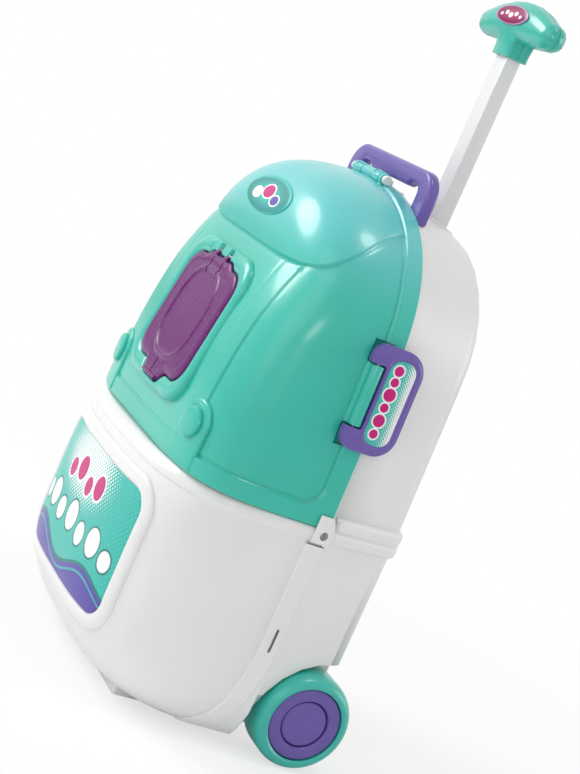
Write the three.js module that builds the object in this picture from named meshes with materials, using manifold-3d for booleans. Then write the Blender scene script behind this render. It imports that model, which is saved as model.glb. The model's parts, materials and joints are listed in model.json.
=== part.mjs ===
// Toy doctor case: a child's trolley case, about 280 mm wide and 560 mm tall with the rod pulled out.
// Millimetres, +Z up, front towards -Y. The seam between front and rear is the plane y = 0 until the
// whole group is moved back or forth at the end, so that the origin lies under the middle of the case.
import * as THREE from 'three';
import { mergeVertices } from 'three/addons/utils/BufferGeometryUtils.js';
import Module from 'manifold-3d';

const wasm = await Module();
wasm.setup();

// Clearances and overrun
const seatGap = 0.3;
const runningGap = 0.4;
const hingeGap = 0.6;
const lidGap = 0.6;
const cutOverrun = 6;

// Case body, measured at its bare walls
const wall = 2.5;
const caseHalfWidth = 136.5;
const partingHeight = 172.5;
const shoulderRise = 112.5;
const sideLean = 6;
const archRise = 111;
const archPower = 2.25;
const shoulderHeight = partingHeight + shoulderRise;
const shoulderHalfWidth = caseHalfWidth - sideLean;
const archTop = shoulderHeight + archRise;

// Lid
const lidBelly = 103;
const lidLean = 22.5;
const lidLeanPower = 2.44;
const domePower = 2.8;
const lidCornerPower = 4.6;
const domeCornerPower = 2.8;
const lidTrimProud = 2;
const rimBandDepth = 12;
const bottomBandHeight = 12;
const domeProud = 1.4;
const waveLowRise = 154.5;
const waveRise = 44.5;
const waveFront = 84;

// Bowl
const bowlBelly = 120;
const bowlFloorHeight = 7;
const bowlBellyRise = 66;
const bowlToeDrop = 46;
const bowlRimDrop = 12;
const bowlRimPower = 6;
const bowlCornerPower = 3.3;
const bowlSideRound = 26;
const bowlSideRoundHeight = 36;
const rimRollHeight = 10.5;
const rimRollProud = 2;

// Rear shells
const rearTaper = 12;
const rearTaperDepth = 54;
const rearRound = 10;
const rearFace = rearTaperDepth + rearRound;
const rearFloorRise = 2.5;
const rearBandProud = 3;
const rearBandLower = 8;
const rearBandUpper = 8.5;
const rearBandStart = 4.2;
const shellSplitGap = 0.6;
const shellTabHalf = 5.5;
const shellTabThickness = 3;
const shellPostHeight = 13;
const shellPostSpread = 60;

// Seam strip, part of the lower rear shell
const stripFront = 11;
const stripRear = 2.5;
const stripThickness = 1.5;
const stripTopDrop = 12.5;
const stripToeRise = 80;
const stripToeReach = 48;
const stripSlotLength = 18;
const stripSlotWidth = 1.6;
const stripSlotRise = 81;

// Seam lugs
const lugHeight = 20;
const lugFront = 10;
const lugRear = 3.5;
const lugThickness = 2.4;
const lugCut = 3.2;
const lugDrop = 10.5;
const lugScrewForward = 2.4;
const lugBossRadius = 4.4;
const lugTabDepth = 8;
const lugTabHeight = 9;

// Screws
const screwRadius = 1.5;
const screwHeadRadius = 2.9;
const screwHeadHeight = 1.8;
const screwLength = 11;
const handleScrewLength = 16;
const screwSides = 8;
const screwSlotWidth = 0.8;
const screwSlotDepth = 0.7;
const screwPostRadius = 4.2;

// Wheels
const wheelRadius = 35.6;
const wheelCentreY = 45.8;
const wheelWidth = 32;
const wheelStandOut = 5.3;
const tyreRound = 5;
const hubRadius = 27;
const hubDish = 2;
const hubWeb = 4;
const hubCapRadius = 17;
const hubCapRound = 1.2;
const hubRecessDepth = 9;
const hubBossRadius = 8;
const axleRadius = 3;
const axleNutRadius = 6.5;
const axleNutThickness = 3;
const axleBushRadius = 6.5;
const axleBushFlange = 9.5;
const axleBushFlangeThickness = 1.4;
const axleBushReach = 8;
const wheelWellGap = 3.8;
const wheelWellInner = caseHalfWidth + wheelStandOut - wheelWidth - wheelWellGap;
const archCentreY = 59.5;
const archCentreZ = 20;
const wheelArchRadius = 58;

// Front foot
const footHalfWidth = 82;
const footFront = 72.5;
const footDepth = 26;
const footRound = 2;
const footScrewSpread = 60;
const footScrewSink = 2;

// Front label in its frame
const labelSideMargin = 47.5;
const labelTopDrop = 27.5;
const labelBottom = 50;
const labelHalfWidth = caseHalfWidth - labelSideMargin;
const labelHeight = partingHeight - labelTopDrop - labelBottom;
const labelCorner = 16;
const labelThickness = 0.8;
const labelFrameWidth = 11;
const labelFrameProud = 2.2;

// Door on the lid
const doorHalfWidth = 47;
const doorHeight = 86;
const doorCorner = 16;
const doorThickness = 3;
const doorBevel = 0.8;
const doorFaceInset = 3.4;
const doorFaceDepth = lidBelly - doorFaceInset;
const doorCentreRise = 85.5;
const doorLeanRise = 97;
const doorLean = 16;
const doorTabHalfWidth = 18;
const doorTabDrop = 8;
const doorCrown = 4;
const doorCrownHalfWidth = 22;
const doorGap = 1;
const doorSlitWidth = 1.2;
const doorSlitLength = 13;
const surroundSide = 8.5;
const surroundTop = 8.5;
const surroundBottom = 4;
const surroundProud = 0.4;
const surroundDepth = 8.3;
const surroundBevel = 1.2;
const doorPinRadius = 1.2;
const doorPinSink = 1.6;
const doorPinRise = 3.3;
const doorPinHalfLength = 17;
const doorKnuckleRadius = 2.6;
const doorKnuckleWidth = 5;
const doorKnuckleSpread = 10;
const pocketDepth = 32;
const pocketWall = 2;
const pocketScrewLength = 7;
const pocketScrewRise = 24;

// Round bosses on the lid's lower corners
const bossSideMargin = 48.5;
const bossSpread = caseHalfWidth - bossSideMargin;
const bossRise = 31;
const bossRadius = 11;
const bossProud = 4;
const bossPadHalfWidth = 17;
const bossPadProud = 1.6;

// Lid badge
const badgeHalfWidth = 39;
const badgeHalfHeight = 13.8;
const badgeThickness = 0.9;
const badgeRise = 160;
const badgeTilt = 0.32;

// Lid hinge at the top
const hingeRadius = 4.2;
const hingeForward = 12;
const hingeLift = 4;
const hingePinRadius = 1.5;
const hingeHalfLength = 33;
const hingeHeadLength = 6.5;
const hingeArmSpread = 16;
const hingeArmWidth = 8;
const hingeArmRoot = 9;
const hingeArmRootLift = 2;
const hingeSides = 16;

// Side clips
const clipHalfLength = 35;
const clipCentreRise = 95;
const clipPinForward = 15;
const clipPinOut = 4.4;
const clipBarrelRadius = 3.8;
const clipBarrelHalfLength = 22.3;
const clipRearReach = 15;
const clipPlateInner = 2.6;
const clipPlateOuter = 8.8;
const clipBevel = 1.6;
const clipRearCorner = 12;
const clipFrontCorner = 4;
const clipPinRadius = 1.4;
const clipLabelBorder = 3;
const clipLabelFrontBorder = 6.5;
const clipLabelDepth = 1.2;
const clipLabelThickness = 0.8;
const clipLipThickness = 4;
const clipLipDepth = 1.2;
const clipLipHalfLength = 21;
const clipCatchProud = 1.4;
const clipCatchThickness = 3.2;
const clipCatchSlack = 0.5;

// Carry handle
const handleHalfWidth = 70;
const handleRise = 22;
const handleDepth = 9;
const handleStart = 0.6;
const handleLegWidth = 15;
const handleGripThickness = 15;
const handleOuterCorner = 14;
const handleInnerCorner = 5;
const handleNotch = 3.5;
const handleNotchWidth = 14;
const handleBevel = 2;
const handleLegBury = 30;
const handleBossDrop = 7;

// Pull rod, its guide and its grip
const rodHalfWidth = 9;
const rodHalfDepth = 5.75;
const rodCentreY = 51.9;
const rodWall = 1.2;
const rodTravel = 125;
const rodStopHeight = 9;
const rodStopProud = 1.2;
const rodStopPlug = 8;
const guideWall = 1.2;
const guideSpare = 6;
const guideEarReach = 11;
const guideEarThickness = 2.5;
const guideEarHeight = 12;
const guideEarInset = 22;
const collarFlange = 3;
const collarFlangeHeight = 1.8;
const collarReach = 32;
const gripRodGap = 0.5;
const gripNeckHalfWidth = 13;
const gripNeckHalfDepth = 9.7;
const gripNeckFlare = 2;
const gripNeckRise = 11;
const gripNeckPower = 6;
const gripHalfWidth = 56;
const gripEndRadius = 10;
const gripMidRadius = 15.8;
const gripHalfDepth = 12;
const gripBarPower = 2.3;
const gripEndDrop = 5;
const gripSocket = 26;
const gripScrewSpread = 34;
const gripScrewDepth = 7;
const gripScrewLength = 14;
const gripRodScrewLength = 17;
const gripBadgeHalfWidth = 23.9;
const gripBadgeHalfHeight = 7.3;
const gripBadgeThickness = 0.9;
const gripBadgeLift = 2.2;

// Counts of steps and faces
const planSteps = 20;
const archSteps = 16;
const straightLevels = 4;
const domeLevels = 6;
const toeLevels = 5;
const upperLevels = 4;
const roundSteps = 3;
const cornerSteps = 4;
const waveSteps = 8;
const gripSteps = 3;
const wheelSides = 24;
const smallSides = 16;
const curveSegments = 3;

// Colours
const mint = 0x58c6b4;
const purple = 0x6f5aa8;
const doorPurple = 0x7b3f94;
const labelTeal = 0x3fb8ac;
const magenta = 0xd22f86;
const white = 0xf2f2f0;
const footGrey = 0xd9d9d8;
const rodGrey = 0xc4c4c4;
const steel = 0x9a9c9f;

const X = new THREE.Vector3(1, 0, 0);
const Y = new THREE.Vector3(0, 1, 0);
const Z = new THREE.Vector3(0, 0, 1);

const vec = (x, y, z) => new THREE.Vector3(x, y, z);

// Turns a three.js geometry into a solid that can be cut and joined, with its faces pointing out
function solidOf(geometry) {
  const bare = geometry.clone();
  bare.deleteAttribute('normal');
  bare.deleteAttribute('uv');
  const merged = mergeVertices(bare);
  const source = merged.index.array;
  const position = merged.attributes.position;
  const triangles = [];
  let volume = 0;
  const [p, q, r] = [vec(0, 0, 0), vec(0, 0, 0), vec(0, 0, 0)];
  for (let i = 0; i < source.length; i += 3) {
    const [a, b, c] = [source[i], source[i + 1], source[i + 2]];
    if (a !== b && b !== c && c !== a) triangles.push(a, b, c);
    p.fromBufferAttribute(position, a);
    q.fromBufferAttribute(position, b);
    r.fromBufferAttribute(position, c);
    volume += p.dot(q.cross(r));
  }
  if (volume < 0) triangles.reverse();
  return new wasm.Manifold(new wasm.Mesh({
    numProp: 3,
    vertProperties: new Float32Array(position.array),
    triVerts: new Uint32Array(triangles)
  }));
}

function geometryOf(solid) {
  const mesh = solid.getMesh();
  const geometry = new THREE.BufferGeometry();
  geometry.setAttribute('position', new THREE.BufferAttribute(mesh.vertProperties, 3));
  geometry.setIndex(new THREE.BufferAttribute(mesh.triVerts, 1));
  geometry.computeVertexNormals();
  return geometry;
}

function joined(...solids) {
  return solids.reduce((sum, solid) => sum.add(solid));
}

function cutBy(solid, ...cutters) {
  return cutters.reduce((rest, cutter) => rest.subtract(cutter), solid);
}

function mirrored(solid) {
  return solid.mirror([1, 0, 0]);
}

function bothSides(solid) {
  return solid.add(mirrored(solid));
}

function block(x0, x1, y0, y1, z0, z1) {
  const geometry = new THREE.BoxGeometry(x1 - x0, y1 - y0, z1 - z0);
  return solidOf(geometry.translate((x0 + x1) / 2, (y0 + y1) / 2, (z0 + z1) / 2));
}

// A straight round bar between two points
function bar(from, to, radius, sides = smallSides) {
  const along = to.clone().sub(from);
  const geometry = new THREE.CylinderGeometry(radius, radius, along.length(), sides);
  const turn = new THREE.Quaternion().setFromUnitVectors(Y, along.clone().normalize());
  const middle = from.clone().add(to).multiplyScalar(1 / 2);
  return solidOf(geometry.applyQuaternion(turn).translate(middle.x, middle.y, middle.z));
}

// A frame to extrude in: the outline's axes u and v, the direction of the extrusion, and its origin
function frameOf(u, v, origin) {
  const w = u.clone().cross(v);
  return new THREE.Matrix4().makeBasis(u, v, w).setPosition(origin);
}

const lookingForward = frameOf(X, Z, vec(0, 0, 0));
const lookingSideways = frameOf(Y, Z, vec(0, 0, 0));
const lookingUp = frameOf(X, Y, vec(0, 0, 0));

// A prism of an outline, from and to measured along the frame's third axis
function prism(shape, frame, from, to, bevel = 0) {
  const geometry = new THREE.ExtrudeGeometry(shape, {
    depth: to - from - 2 * bevel,
    bevelEnabled: bevel > 0,
    bevelThickness: bevel,
    bevelSize: bevel,
    bevelOffset: -bevel,
    bevelSegments: 1,
    curveSegments,
    steps: 1
  });
  return solidOf(geometry.translate(0, 0, from + bevel).applyMatrix4(frame));
}

function outline(points) {
  return new THREE.Shape(points.map(([u, v]) => new THREE.Vector2(u, v)));
}

function roundedBox(u0, u1, v0, v1, radius) {
  const shape = new THREE.Shape();
  shape.absarc(u1 - radius, v0 + radius, radius, -Math.PI / 2, 0, false);
  shape.absarc(u1 - radius, v1 - radius, radius, 0, Math.PI / 2, false);
  shape.absarc(u0 + radius, v1 - radius, radius, Math.PI / 2, Math.PI, false);
  shape.absarc(u0 + radius, v0 + radius, radius, Math.PI, 1.5 * Math.PI, false);
  return shape;
}

function ellipse(u, v, halfWidth, halfHeight) {
  const shape = new THREE.Shape();
  for (let quarter = 0; quarter < 4; quarter += 1) {
    const start = Math.PI / 2 * quarter;
    shape.absellipse(u, v, halfWidth, halfHeight, start, start + Math.PI / 2, false, 0);
  }
  return shape;
}

// A ring of an oval about a middle point, squarer with a higher power
function ovalRing(middle, first, second, power) {
  const ring = [];
  for (let i = 0; i < smallSides; i += 1) {
    const angle = 2 * Math.PI * i / smallSides;
    const [a, b] = [Math.cos(angle), Math.sin(angle)].map((v) => Math.sign(v) * Math.abs(v) ** (2 / power));
    ring.push(middle.clone().addScaledVector(first, a).addScaledVector(second, b));
  }
  return ring;
}

// A closed body through rings that hold the same number of points
function loft(rings) {
  const count = rings[0].length;
  const points = rings.flat();
  const faces = [];
  for (let r = 0; r + 1 < rings.length; r += 1) {
    for (let i = 0; i < count; i += 1) {
      const a = r * count + i;
      const b = r * count + (i + 1) % count;
      faces.push(a, b, b + count, a, b + count, a + count);
    }
  }
  [rings[0], rings[rings.length - 1]].forEach((ring, side) => {
    const centre = ring.reduce((sum, p) => sum.add(p), vec(0, 0, 0)).divideScalar(count);
    const hub = points.push(centre) - 1;
    const first = side === 0 ? 0 : (rings.length - 1) * count;
    for (let i = 0; i < count; i += 1) {
      const a = first + i;
      const b = first + (i + 1) % count;
      faces.push(...(side === 0 ? [b, a, hub] : [a, b, hub]));
    }
  });
  const geometry = new THREE.BufferGeometry().setFromPoints(points);
  geometry.setIndex(faces);
  return solidOf(geometry);
}

// A solid turned about the axis of the wheels, from pairs of radius and place along X
function turned(profile, sides = wheelSides) {
  const points = profile.map(([radius, along]) => new THREE.Vector2(radius, along));
  points.push(points[0].clone());
  const geometry = new THREE.LatheGeometry(points, sides);
  const matrix = new THREE.Matrix4().makeBasis(Z, X, Y).setPosition(vec(0, wheelCentreY, wheelRadius));
  return solidOf(geometry.applyMatrix4(matrix));
}

const model = new THREE.Group();

function addPiece(name, solid, colour, roughness = 0.35, metalness = 0) {
  const material = new THREE.MeshStandardMaterial({ color: colour, roughness, metalness });
  const mesh = new THREE.Mesh(geometryOf(solid), material);
  mesh.name = name;
  model.add(mesh);
}

function addPair(name, rightSolid, colour, roughness, metalness) {
  addPiece(`${name}_right`, rightSolid, colour, roughness, metalness);
  addPiece(`${name}_left`, mirrored(rightSolid), colour, roughness, metalness);
}

// Half a superellipse in front of the seam, closed along its back
function planRing(halfWidth, depth, power, height, back) {
  const ring = [];
  for (let i = 0; i <= planSteps; i += 1) {
    const angle = Math.PI * i / planSteps;
    const side = Math.cos(angle);
    const end = i === 0 || i === planSteps;
    const x = halfWidth * Math.sign(side) * Math.abs(side) ** (2 / power);
    ring.push(vec(x, end ? 0 : -depth * Math.abs(Math.sin(angle)) ** (2 / power), height));
  }
  if (back > 0) ring.push(vec(-halfWidth, back, height), vec(halfWidth, back, height));
  return ring;
}

// Half width of the bare case at a height above the parting line
function halfWidthAt(height) {
  if (height <= shoulderHeight) {
    return caseHalfWidth - sideLean * (height - partingHeight) / shoulderRise;
  }
  const share = (height - shoulderHeight) / archRise;
  return shoulderHalfWidth * Math.max(1 - share ** archPower, 0) ** (1 / archPower);
}

// Height of the rear shells' top over a place in plan
function archHeightAt(x, y) {
  const draw = rearTaper * y / rearTaperDepth;
  const share = Math.abs(x) / (shoulderHalfWidth - draw);
  return shoulderHeight + (archRise - draw) * (1 - share ** archPower) ** (1 / archPower);
}

// Front surface of the lid on the middle line
function lidDepthAt(height, top) {
  const leanShare = Math.min(Math.max(height - partingHeight, 0) / waveLowRise, 1);
  const domeStart = partingHeight + waveLowRise;
  const domeShare = Math.min(Math.max(height - domeStart, 0) / (top - domeStart), 1);
  const front = lidBelly - lidLean * leanShare ** lidLeanPower;
  return front * (1 - domeShare ** domePower) ** (1 / domePower);
}

// The lid's outer surface moved inwards by inset, as a closed body in front of the seam
function lidBody(inset, bottom, back = 0) {
  const levels = [[bottom, halfWidthAt(bottom) - inset]];
  for (let i = 1; i <= straightLevels; i += 1) {
    const height = partingHeight + shoulderRise * i / straightLevels;
    levels.push([height, halfWidthAt(height) - inset]);
  }
  for (let i = 1; i <= domeLevels; i += 1) {
    const angle = Math.PI / 2 * (i < domeLevels ? i / domeLevels : 1 - 1 / (8 * domeLevels));
    const height = shoulderHeight + (archRise - inset) * Math.sin(angle) ** (2 / archPower);
    levels.push([height, (shoulderHalfWidth - inset) * Math.cos(angle) ** (2 / archPower)]);
  }
  const top = archTop - inset;
  return loft(levels.map(([height, halfWidth]) => {
    const share = Math.max(height - shoulderHeight, 0) / archRise;
    const power = lidCornerPower + (domeCornerPower - lidCornerPower) * share;
    return planRing(halfWidth, lidDepthAt(height, top) - inset, power, height, back);
  }));
}

// Arch-shaped outline of the case seen from the front, above a height
function archOutline(grow, bottom) {
  const points = [[caseHalfWidth + grow, bottom], [shoulderHalfWidth + grow, shoulderHeight]];
  for (let i = 1; i < archSteps; i += 1) {
    const angle = Math.PI * i / archSteps;
    const side = Math.cos(angle);
    const x = (shoulderHalfWidth + grow) * Math.sign(side) * Math.abs(side) ** (2 / archPower);
    points.push([x, shoulderHeight + (archRise + grow) * Math.sin(angle) ** (2 / archPower)]);
  }
  points.push([-shoulderHalfWidth - grow, shoulderHeight], [-caseHalfWidth - grow, bottom]);
  return outline(points);
}

// The bowl's outer surface grown by an amount, as a closed body in front of the seam
function bowlBody(grow, top, back = 0) {
  const floor = bowlFloorHeight - grow;
  const belly = bowlFloorHeight + bowlBellyRise;
  const heights = [];
  for (let i = 0; i <= toeLevels; i += 1) {
    heights.push(belly - (belly - floor) * Math.cos(Math.PI / 2 * i / toeLevels));
  }
  for (let i = 1; i <= upperLevels; i += 1) heights.push(belly + (top - belly) * i / upperLevels);
  return loft(heights.map((height) => {
    const toeShare = Math.min(Math.max((belly - height) / (belly - floor), 0), 1);
    const sideShare = Math.min(Math.max(1 - (height - floor) / bowlSideRoundHeight, 0), 1);
    const rimShare = Math.max((height - belly) / (partingHeight - belly), 0);
    const toe = bowlToeDrop * (1 - Math.sqrt(1 - toeShare ** 2));
    const side = bowlSideRound * (1 - Math.sqrt(1 - sideShare ** 2));
    const depth = bowlBelly + grow - toe - bowlRimDrop * rimShare ** bowlRimPower;
    return planRing(caseHalfWidth + grow - side, depth, bowlCornerPower, height, back);
  }));
}

// How far the rear shells have drawn in behind the seam, with the round at the back
function rearSteps(inset, start) {
  const round = rearRound - inset;
  const steps = [];
  [start, rearTaperDepth / 2].forEach((y) => steps.push([y, rearTaper * y / rearTaperDepth + inset]));
  for (let i = 0; i <= roundSteps; i += 1) {
    const angle = Math.PI / 2 * i / roundSteps;
    const draw = rearTaper + inset + round * (1 - Math.cos(angle));
    steps.push([rearTaperDepth + round * Math.sin(angle), draw]);
  }
  return steps;
}

function upperRearBody(inset, start, bottom) {
  return loft(rearSteps(inset, start).map(([y, draw]) => {
    const ring = [vec(caseHalfWidth - draw, y, bottom)];
    for (let i = 0; i <= archSteps; i += 1) {
      const angle = Math.PI * i / archSteps;
      const side = Math.cos(angle);
      const x = (shoulderHalfWidth - draw) * Math.sign(side) * Math.abs(side) ** (2 / archPower);
      const rise = i % archSteps === 0 ? 0 : (archRise - draw) * Math.sin(angle) ** (2 / archPower);
      ring.push(vec(x, y, shoulderHeight + rise));
    }
    ring.push(vec(draw - caseHalfWidth, y, bottom));
    return ring;
  }));
}

function lowerRearBody(inset, start, top) {
  return loft(rearSteps(inset, start).map(([y, draw]) => {
    const right = [vec(caseHalfWidth - draw, y, top)];
    for (let i = 0; i <= cornerSteps; i += 1) {
      const angle = Math.PI / 2 * i / cornerSteps;
      const x = caseHalfWidth - draw - bowlSideRound * (1 - Math.cos(angle));
      const rise = bowlSideRoundHeight * (1 - Math.sin(angle));
      right.push(vec(x, y, bowlFloorHeight + rearFloorRise + draw + rise));
    }
    const left = right.map((p) => vec(-p.x, p.y, p.z)).reverse();
    return right.concat(left);
  }));
}

// Plan outline of the rear band, grown past the shell
function rearPlan(grow, start) {
  const right = rearSteps(-grow, start).map(([y, draw]) => [caseHalfWidth - draw, y]);
  return outline(right.concat(right.map(([x, y]) => [-x, y]).reverse()));
}

// A pan-head screw, from the top of its head along its direction, with a slot
function screw(head, direction, length = screwLength) {
  const neck = head.clone().addScaledVector(direction, screwHeadHeight);
  const tip = head.clone().addScaledVector(direction, length);
  const slot = new THREE.BoxGeometry(screwSlotWidth, 2 * screwSlotDepth, 3 * screwHeadRadius);
  slot.applyQuaternion(new THREE.Quaternion().setFromUnitVectors(Y, direction));
  const body = joined(bar(head, neck, screwHeadRadius, screwSides), bar(head, tip, screwRadius, screwSides));
  return body.subtract(solidOf(slot.translate(head.x, head.y, head.z)));
}

// The room that a screw needs: its shank, and its head on a seat
function screwRoom(head, direction, length = screwLength) {
  const outside = head.clone().addScaledVector(direction, -cutOverrun);
  const seat = head.clone().addScaledVector(direction, screwHeadHeight + seatGap);
  const tip = head.clone().addScaledVector(direction, length + seatGap);
  const headRoom = bar(outside, seat, screwHeadRadius + seatGap, screwSides);
  return headRoom.add(bar(head, tip, screwRadius + seatGap, screwSides));
}

const farX = caseHalfWidth + cutOverrun;
const bowlTop = partingHeight - seatGap;
const lidBottom = partingHeight + lidGap;
const lowerShellTop = partingHeight - shellSplitGap / 2;
const upperShellBottom = partingHeight + shellSplitGap / 2;

// Front foot under the bowl, with its two screws
const footScrewY = footDepth / 2 - footFront;
const footScrewHead = vec(footScrewSpread, footScrewY, footScrewSink);
const footScrewRoom = bothSides(screwRoom(footScrewHead, Z));
const footShape = roundedBox(-footHalfWidth, footHalfWidth, -footFront, footDepth - footFront, footRound);
const foot = prism(footShape, lookingUp, 0, bowlFloorHeight - seatGap);
addPiece('front_foot', foot.subtract(footScrewRoom), footGrey, 0.5);
addPair('foot_screw', screw(footScrewHead, Z), steel, 0.4, 0.8);

// Screws through the seam lugs, into tabs of the lower rear shell
const lugOuter = caseHalfWidth + rimRollProud + seatGap + lugThickness;
const lugBottom = partingHeight - lugDrop;
const lugScrewHeight = partingHeight - screwPostRadius;
const lugScrewHead = vec(lugOuter - screwHeadHeight / 2, -lugScrewForward, lugScrewHeight);
const inward = X.clone().negate();
const lugScrewRoom = bothSides(screwRoom(lugScrewHead, inward));
const lugBoss = bar(
  vec(caseHalfWidth - wall, -lugScrewForward, lugScrewHeight),
  vec(lugOuter, -lugScrewForward, lugScrewHeight),
  lugBossRadius
);
const lugNotch = (inner, rear) => bothSides(block(
  inner, farX,
  -lugScrewForward - lugBossRadius - seatGap, rear,
  lugScrewHeight - lugBossRadius - seatGap, partingHeight + cutOverrun
));
const lugTabOuter = caseHalfWidth - wall - seatGap;

// Label surfaces on the bowl
const labelShape = (grow) => roundedBox(
  -labelHalfWidth - grow,
  labelHalfWidth + grow,
  labelBottom - grow,
  labelBottom + labelHeight + grow,
  labelCorner + grow / 2
);
const labelReach = bowlBelly + cutOverrun;
const labelRoom = prism(labelShape(seatGap), lookingForward, 0, labelReach);

// Lower front bowl
function makeBowl() {
  const roll = bowlBody(rimRollProud, bowlTop).intersect(
    block(-farX, farX, -labelReach, 0, bowlTop - rimRollHeight, bowlTop)
  );
  const frame = bowlBody(labelFrameProud, bowlTop).intersect(
    prism(labelShape(labelFrameWidth), lookingForward, labelReach / 2, labelReach)
  );
  const posts = bothSides(bar(
    vec(footScrewSpread, footScrewY, bowlFloorHeight + wall / 2),
    vec(footScrewSpread, footScrewY, footScrewSink + screwLength + wall),
    screwPostRadius
  ));
  const skin = joined(bowlBody(0, bowlTop), roll, frame.subtract(labelRoom));
  const hollow = skin.subtract(bowlBody(-wall, bowlTop + cutOverrun, cutOverrun));
  return cutBy(hollow.add(posts), footScrewRoom, lugNotch(lugTabOuter - wall, cutOverrun));
}
addPiece('lower_front_bowl', makeBowl(), white, 0.3);

const labelOuter = bowlBody(seatGap + labelThickness, bowlTop);
const label = labelOuter.subtract(bowlBody(seatGap, bowlTop)).intersect(
  prism(labelShape(0), lookingForward, labelReach / 2, labelReach)
);
addPiece('front_label', label, labelTeal, 0.4);

// Screws that join the two rear shells, through tabs under the split
const backPost = vec(shellPostSpread, rearFace - wall - screwPostRadius + seatGap, 0);
const sidePostY = rearTaperDepth / 2;
const sidePost = vec(caseHalfWidth - rearTaper / 2 - wall - screwPostRadius + seatGap, sidePostY, 0);
const shellScrews = [['rear_shell_screw', backPost], ['side_shell_screw', sidePost]];
const shellScrewHead = (post) => {
  return vec(post.x, post.y, lowerShellTop - shellTabThickness - screwHeadHeight - seatGap);
};

// Upper part of the guide for the pull rod
const guideTop = archTop - rearTaper - rearRound;
const rodStopTop = guideTop - collarReach - runningGap;
const rodBottom = rodStopTop + seatGap;
const guideBottom = rodStopTop - rodStopHeight - rodTravel - guideSpare;
const boreHalfWidth = rodHalfWidth + rodStopProud + seatGap;
const boreHalfDepth = rodHalfDepth + rodStopProud + seatGap;
const guideHalfWidth = boreHalfWidth + guideWall;
const guideHalfDepth = boreHalfDepth + guideWall;
const rodBox = (halfWidth, halfDepth, z0, z1) => {
  return block(-halfWidth, halfWidth, rodCentreY - halfDepth, rodCentreY + halfDepth, z0, z1);
};
const earBack = rodCentreY + guideEarThickness / 2;
const earX = guideHalfWidth + guideEarReach / 2;
const guideScrewPlaces = [['lower', guideBottom + guideEarInset], ['upper', guideTop - guideEarInset]];
const guideScrewHead = (z) => vec(earX, earBack - guideEarThickness - screwHeadHeight - seatGap, z);

function makeGuide() {
  const tube = rodBox(guideHalfWidth, guideHalfDepth, guideBottom, guideTop);
  const ears = guideScrewPlaces.map(([, z]) => bothSides(block(
    guideHalfWidth - guideWall / 2,
    guideHalfWidth + guideEarReach,
    earBack - guideEarThickness,
    earBack,
    z - guideEarHeight / 2,
    z + guideEarHeight / 2
  )));
  const rooms = guideScrewPlaces.map(([, z]) => bothSides(screwRoom(guideScrewHead(z), Y)));
  const bore = rodBox(boreHalfWidth, boreHalfDepth, guideBottom - cutOverrun, guideTop + cutOverrun);
  return cutBy(joined(tube, ...ears), bore, ...rooms);
}
addPiece('rod_guide', makeGuide(), footGrey, 0.5);
guideScrewPlaces.forEach(([place, z]) => {
  addPair(`guide_screw_${place}`, screw(guideScrewHead(z), Y), steel, 0.4, 0.8);
});

// Collar round the rod where it leaves the case: a flange that follows the shell, and a sleeve below
const sleeveHalfWidth = boreHalfWidth - seatGap;
const sleeveHalfDepth = boreHalfDepth - seatGap;
const collarTop = archTop + seatGap + collarFlangeHeight
  - rearTaper * (rodCentreY - guideHalfDepth - collarFlange) / rearTaperDepth;
function makeCollar() {
  const deep = guideTop - collarReach;
  const flange = rodBox(guideHalfWidth + collarFlange, guideHalfDepth + collarFlange, guideTop, archTop);
  const flangeSkin = flange.subtract(upperRearBody(-seatGap, 0, partingHeight));
  const sleeve = rodBox(sleeveHalfWidth, sleeveHalfDepth, deep, archTop);
  const body = flangeSkin.add(sleeve);
  const trimmed = body.intersect(upperRearBody(-seatGap - collarFlangeHeight, 0, deep));
  return trimmed.subtract(rodBox(
    rodHalfWidth + seatGap,
    rodHalfDepth + seatGap,
    deep - cutOverrun,
    archTop + cutOverrun
  ));
}
addPiece('rod_collar', makeCollar(), white, 0.35);
const collarRoom = rodBox(sleeveHalfWidth + seatGap, sleeveHalfDepth + seatGap, guideTop, archTop);

// Carry handle on the top of the upper rear shell
const handleTop = archTop + handleRise;
const handleUnder = handleTop - handleGripThickness;
const handleInner = handleHalfWidth - handleLegWidth;
const handleLegX = handleHalfWidth - handleLegWidth / 2;
const handleMidY = handleStart + handleDepth / 2;
const handleScrewHead = vec(
  handleLegX,
  handleMidY,
  archHeightAt(handleLegX, handleMidY) - handleBossDrop - screwHeadHeight
);
const handleScrewRoom = bothSides(screwRoom(handleScrewHead, Z, handleScrewLength));

function makeHandle() {
  const foot = handleTop - handleLegBury - handleRise;
  const shape = new THREE.Shape();
  shape.moveTo(handleHalfWidth, foot);
  shape.absarc(
    handleHalfWidth - handleOuterCorner,
    handleTop - handleOuterCorner,
    handleOuterCorner, 0, Math.PI / 2, false
  );
  shape.absarc(
    handleOuterCorner - handleHalfWidth,
    handleTop - handleOuterCorner,
    handleOuterCorner, Math.PI / 2, Math.PI, false
  );
  shape.lineTo(-handleHalfWidth, foot);
  shape.lineTo(-handleInner, foot);
  shape.absarc(
    handleInnerCorner - handleInner,
    handleUnder + handleNotch - handleInnerCorner,
    handleInnerCorner, Math.PI, Math.PI / 2, true
  );
  shape.lineTo(-handleInner + handleNotchWidth, handleUnder + handleNotch);
  shape.lineTo(-handleInner + handleNotchWidth + handleNotch, handleUnder);
  shape.lineTo(handleInner - handleNotchWidth - handleNotch, handleUnder);
  shape.lineTo(handleInner - handleNotchWidth, handleUnder + handleNotch);
  shape.absarc(
    handleInner - handleInnerCorner,
    handleUnder + handleNotch - handleInnerCorner,
    handleInnerCorner, Math.PI / 2, 0, true
  );
  shape.lineTo(handleInner, foot);
  const arch = prism(shape, lookingForward, -handleStart - handleDepth, -handleStart, handleBevel);
  return cutBy(arch, upperRearBody(-seatGap, -cutOverrun, partingHeight), handleScrewRoom);
}
addPiece('carry_handle', makeHandle(), purple, 0.3);
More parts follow.
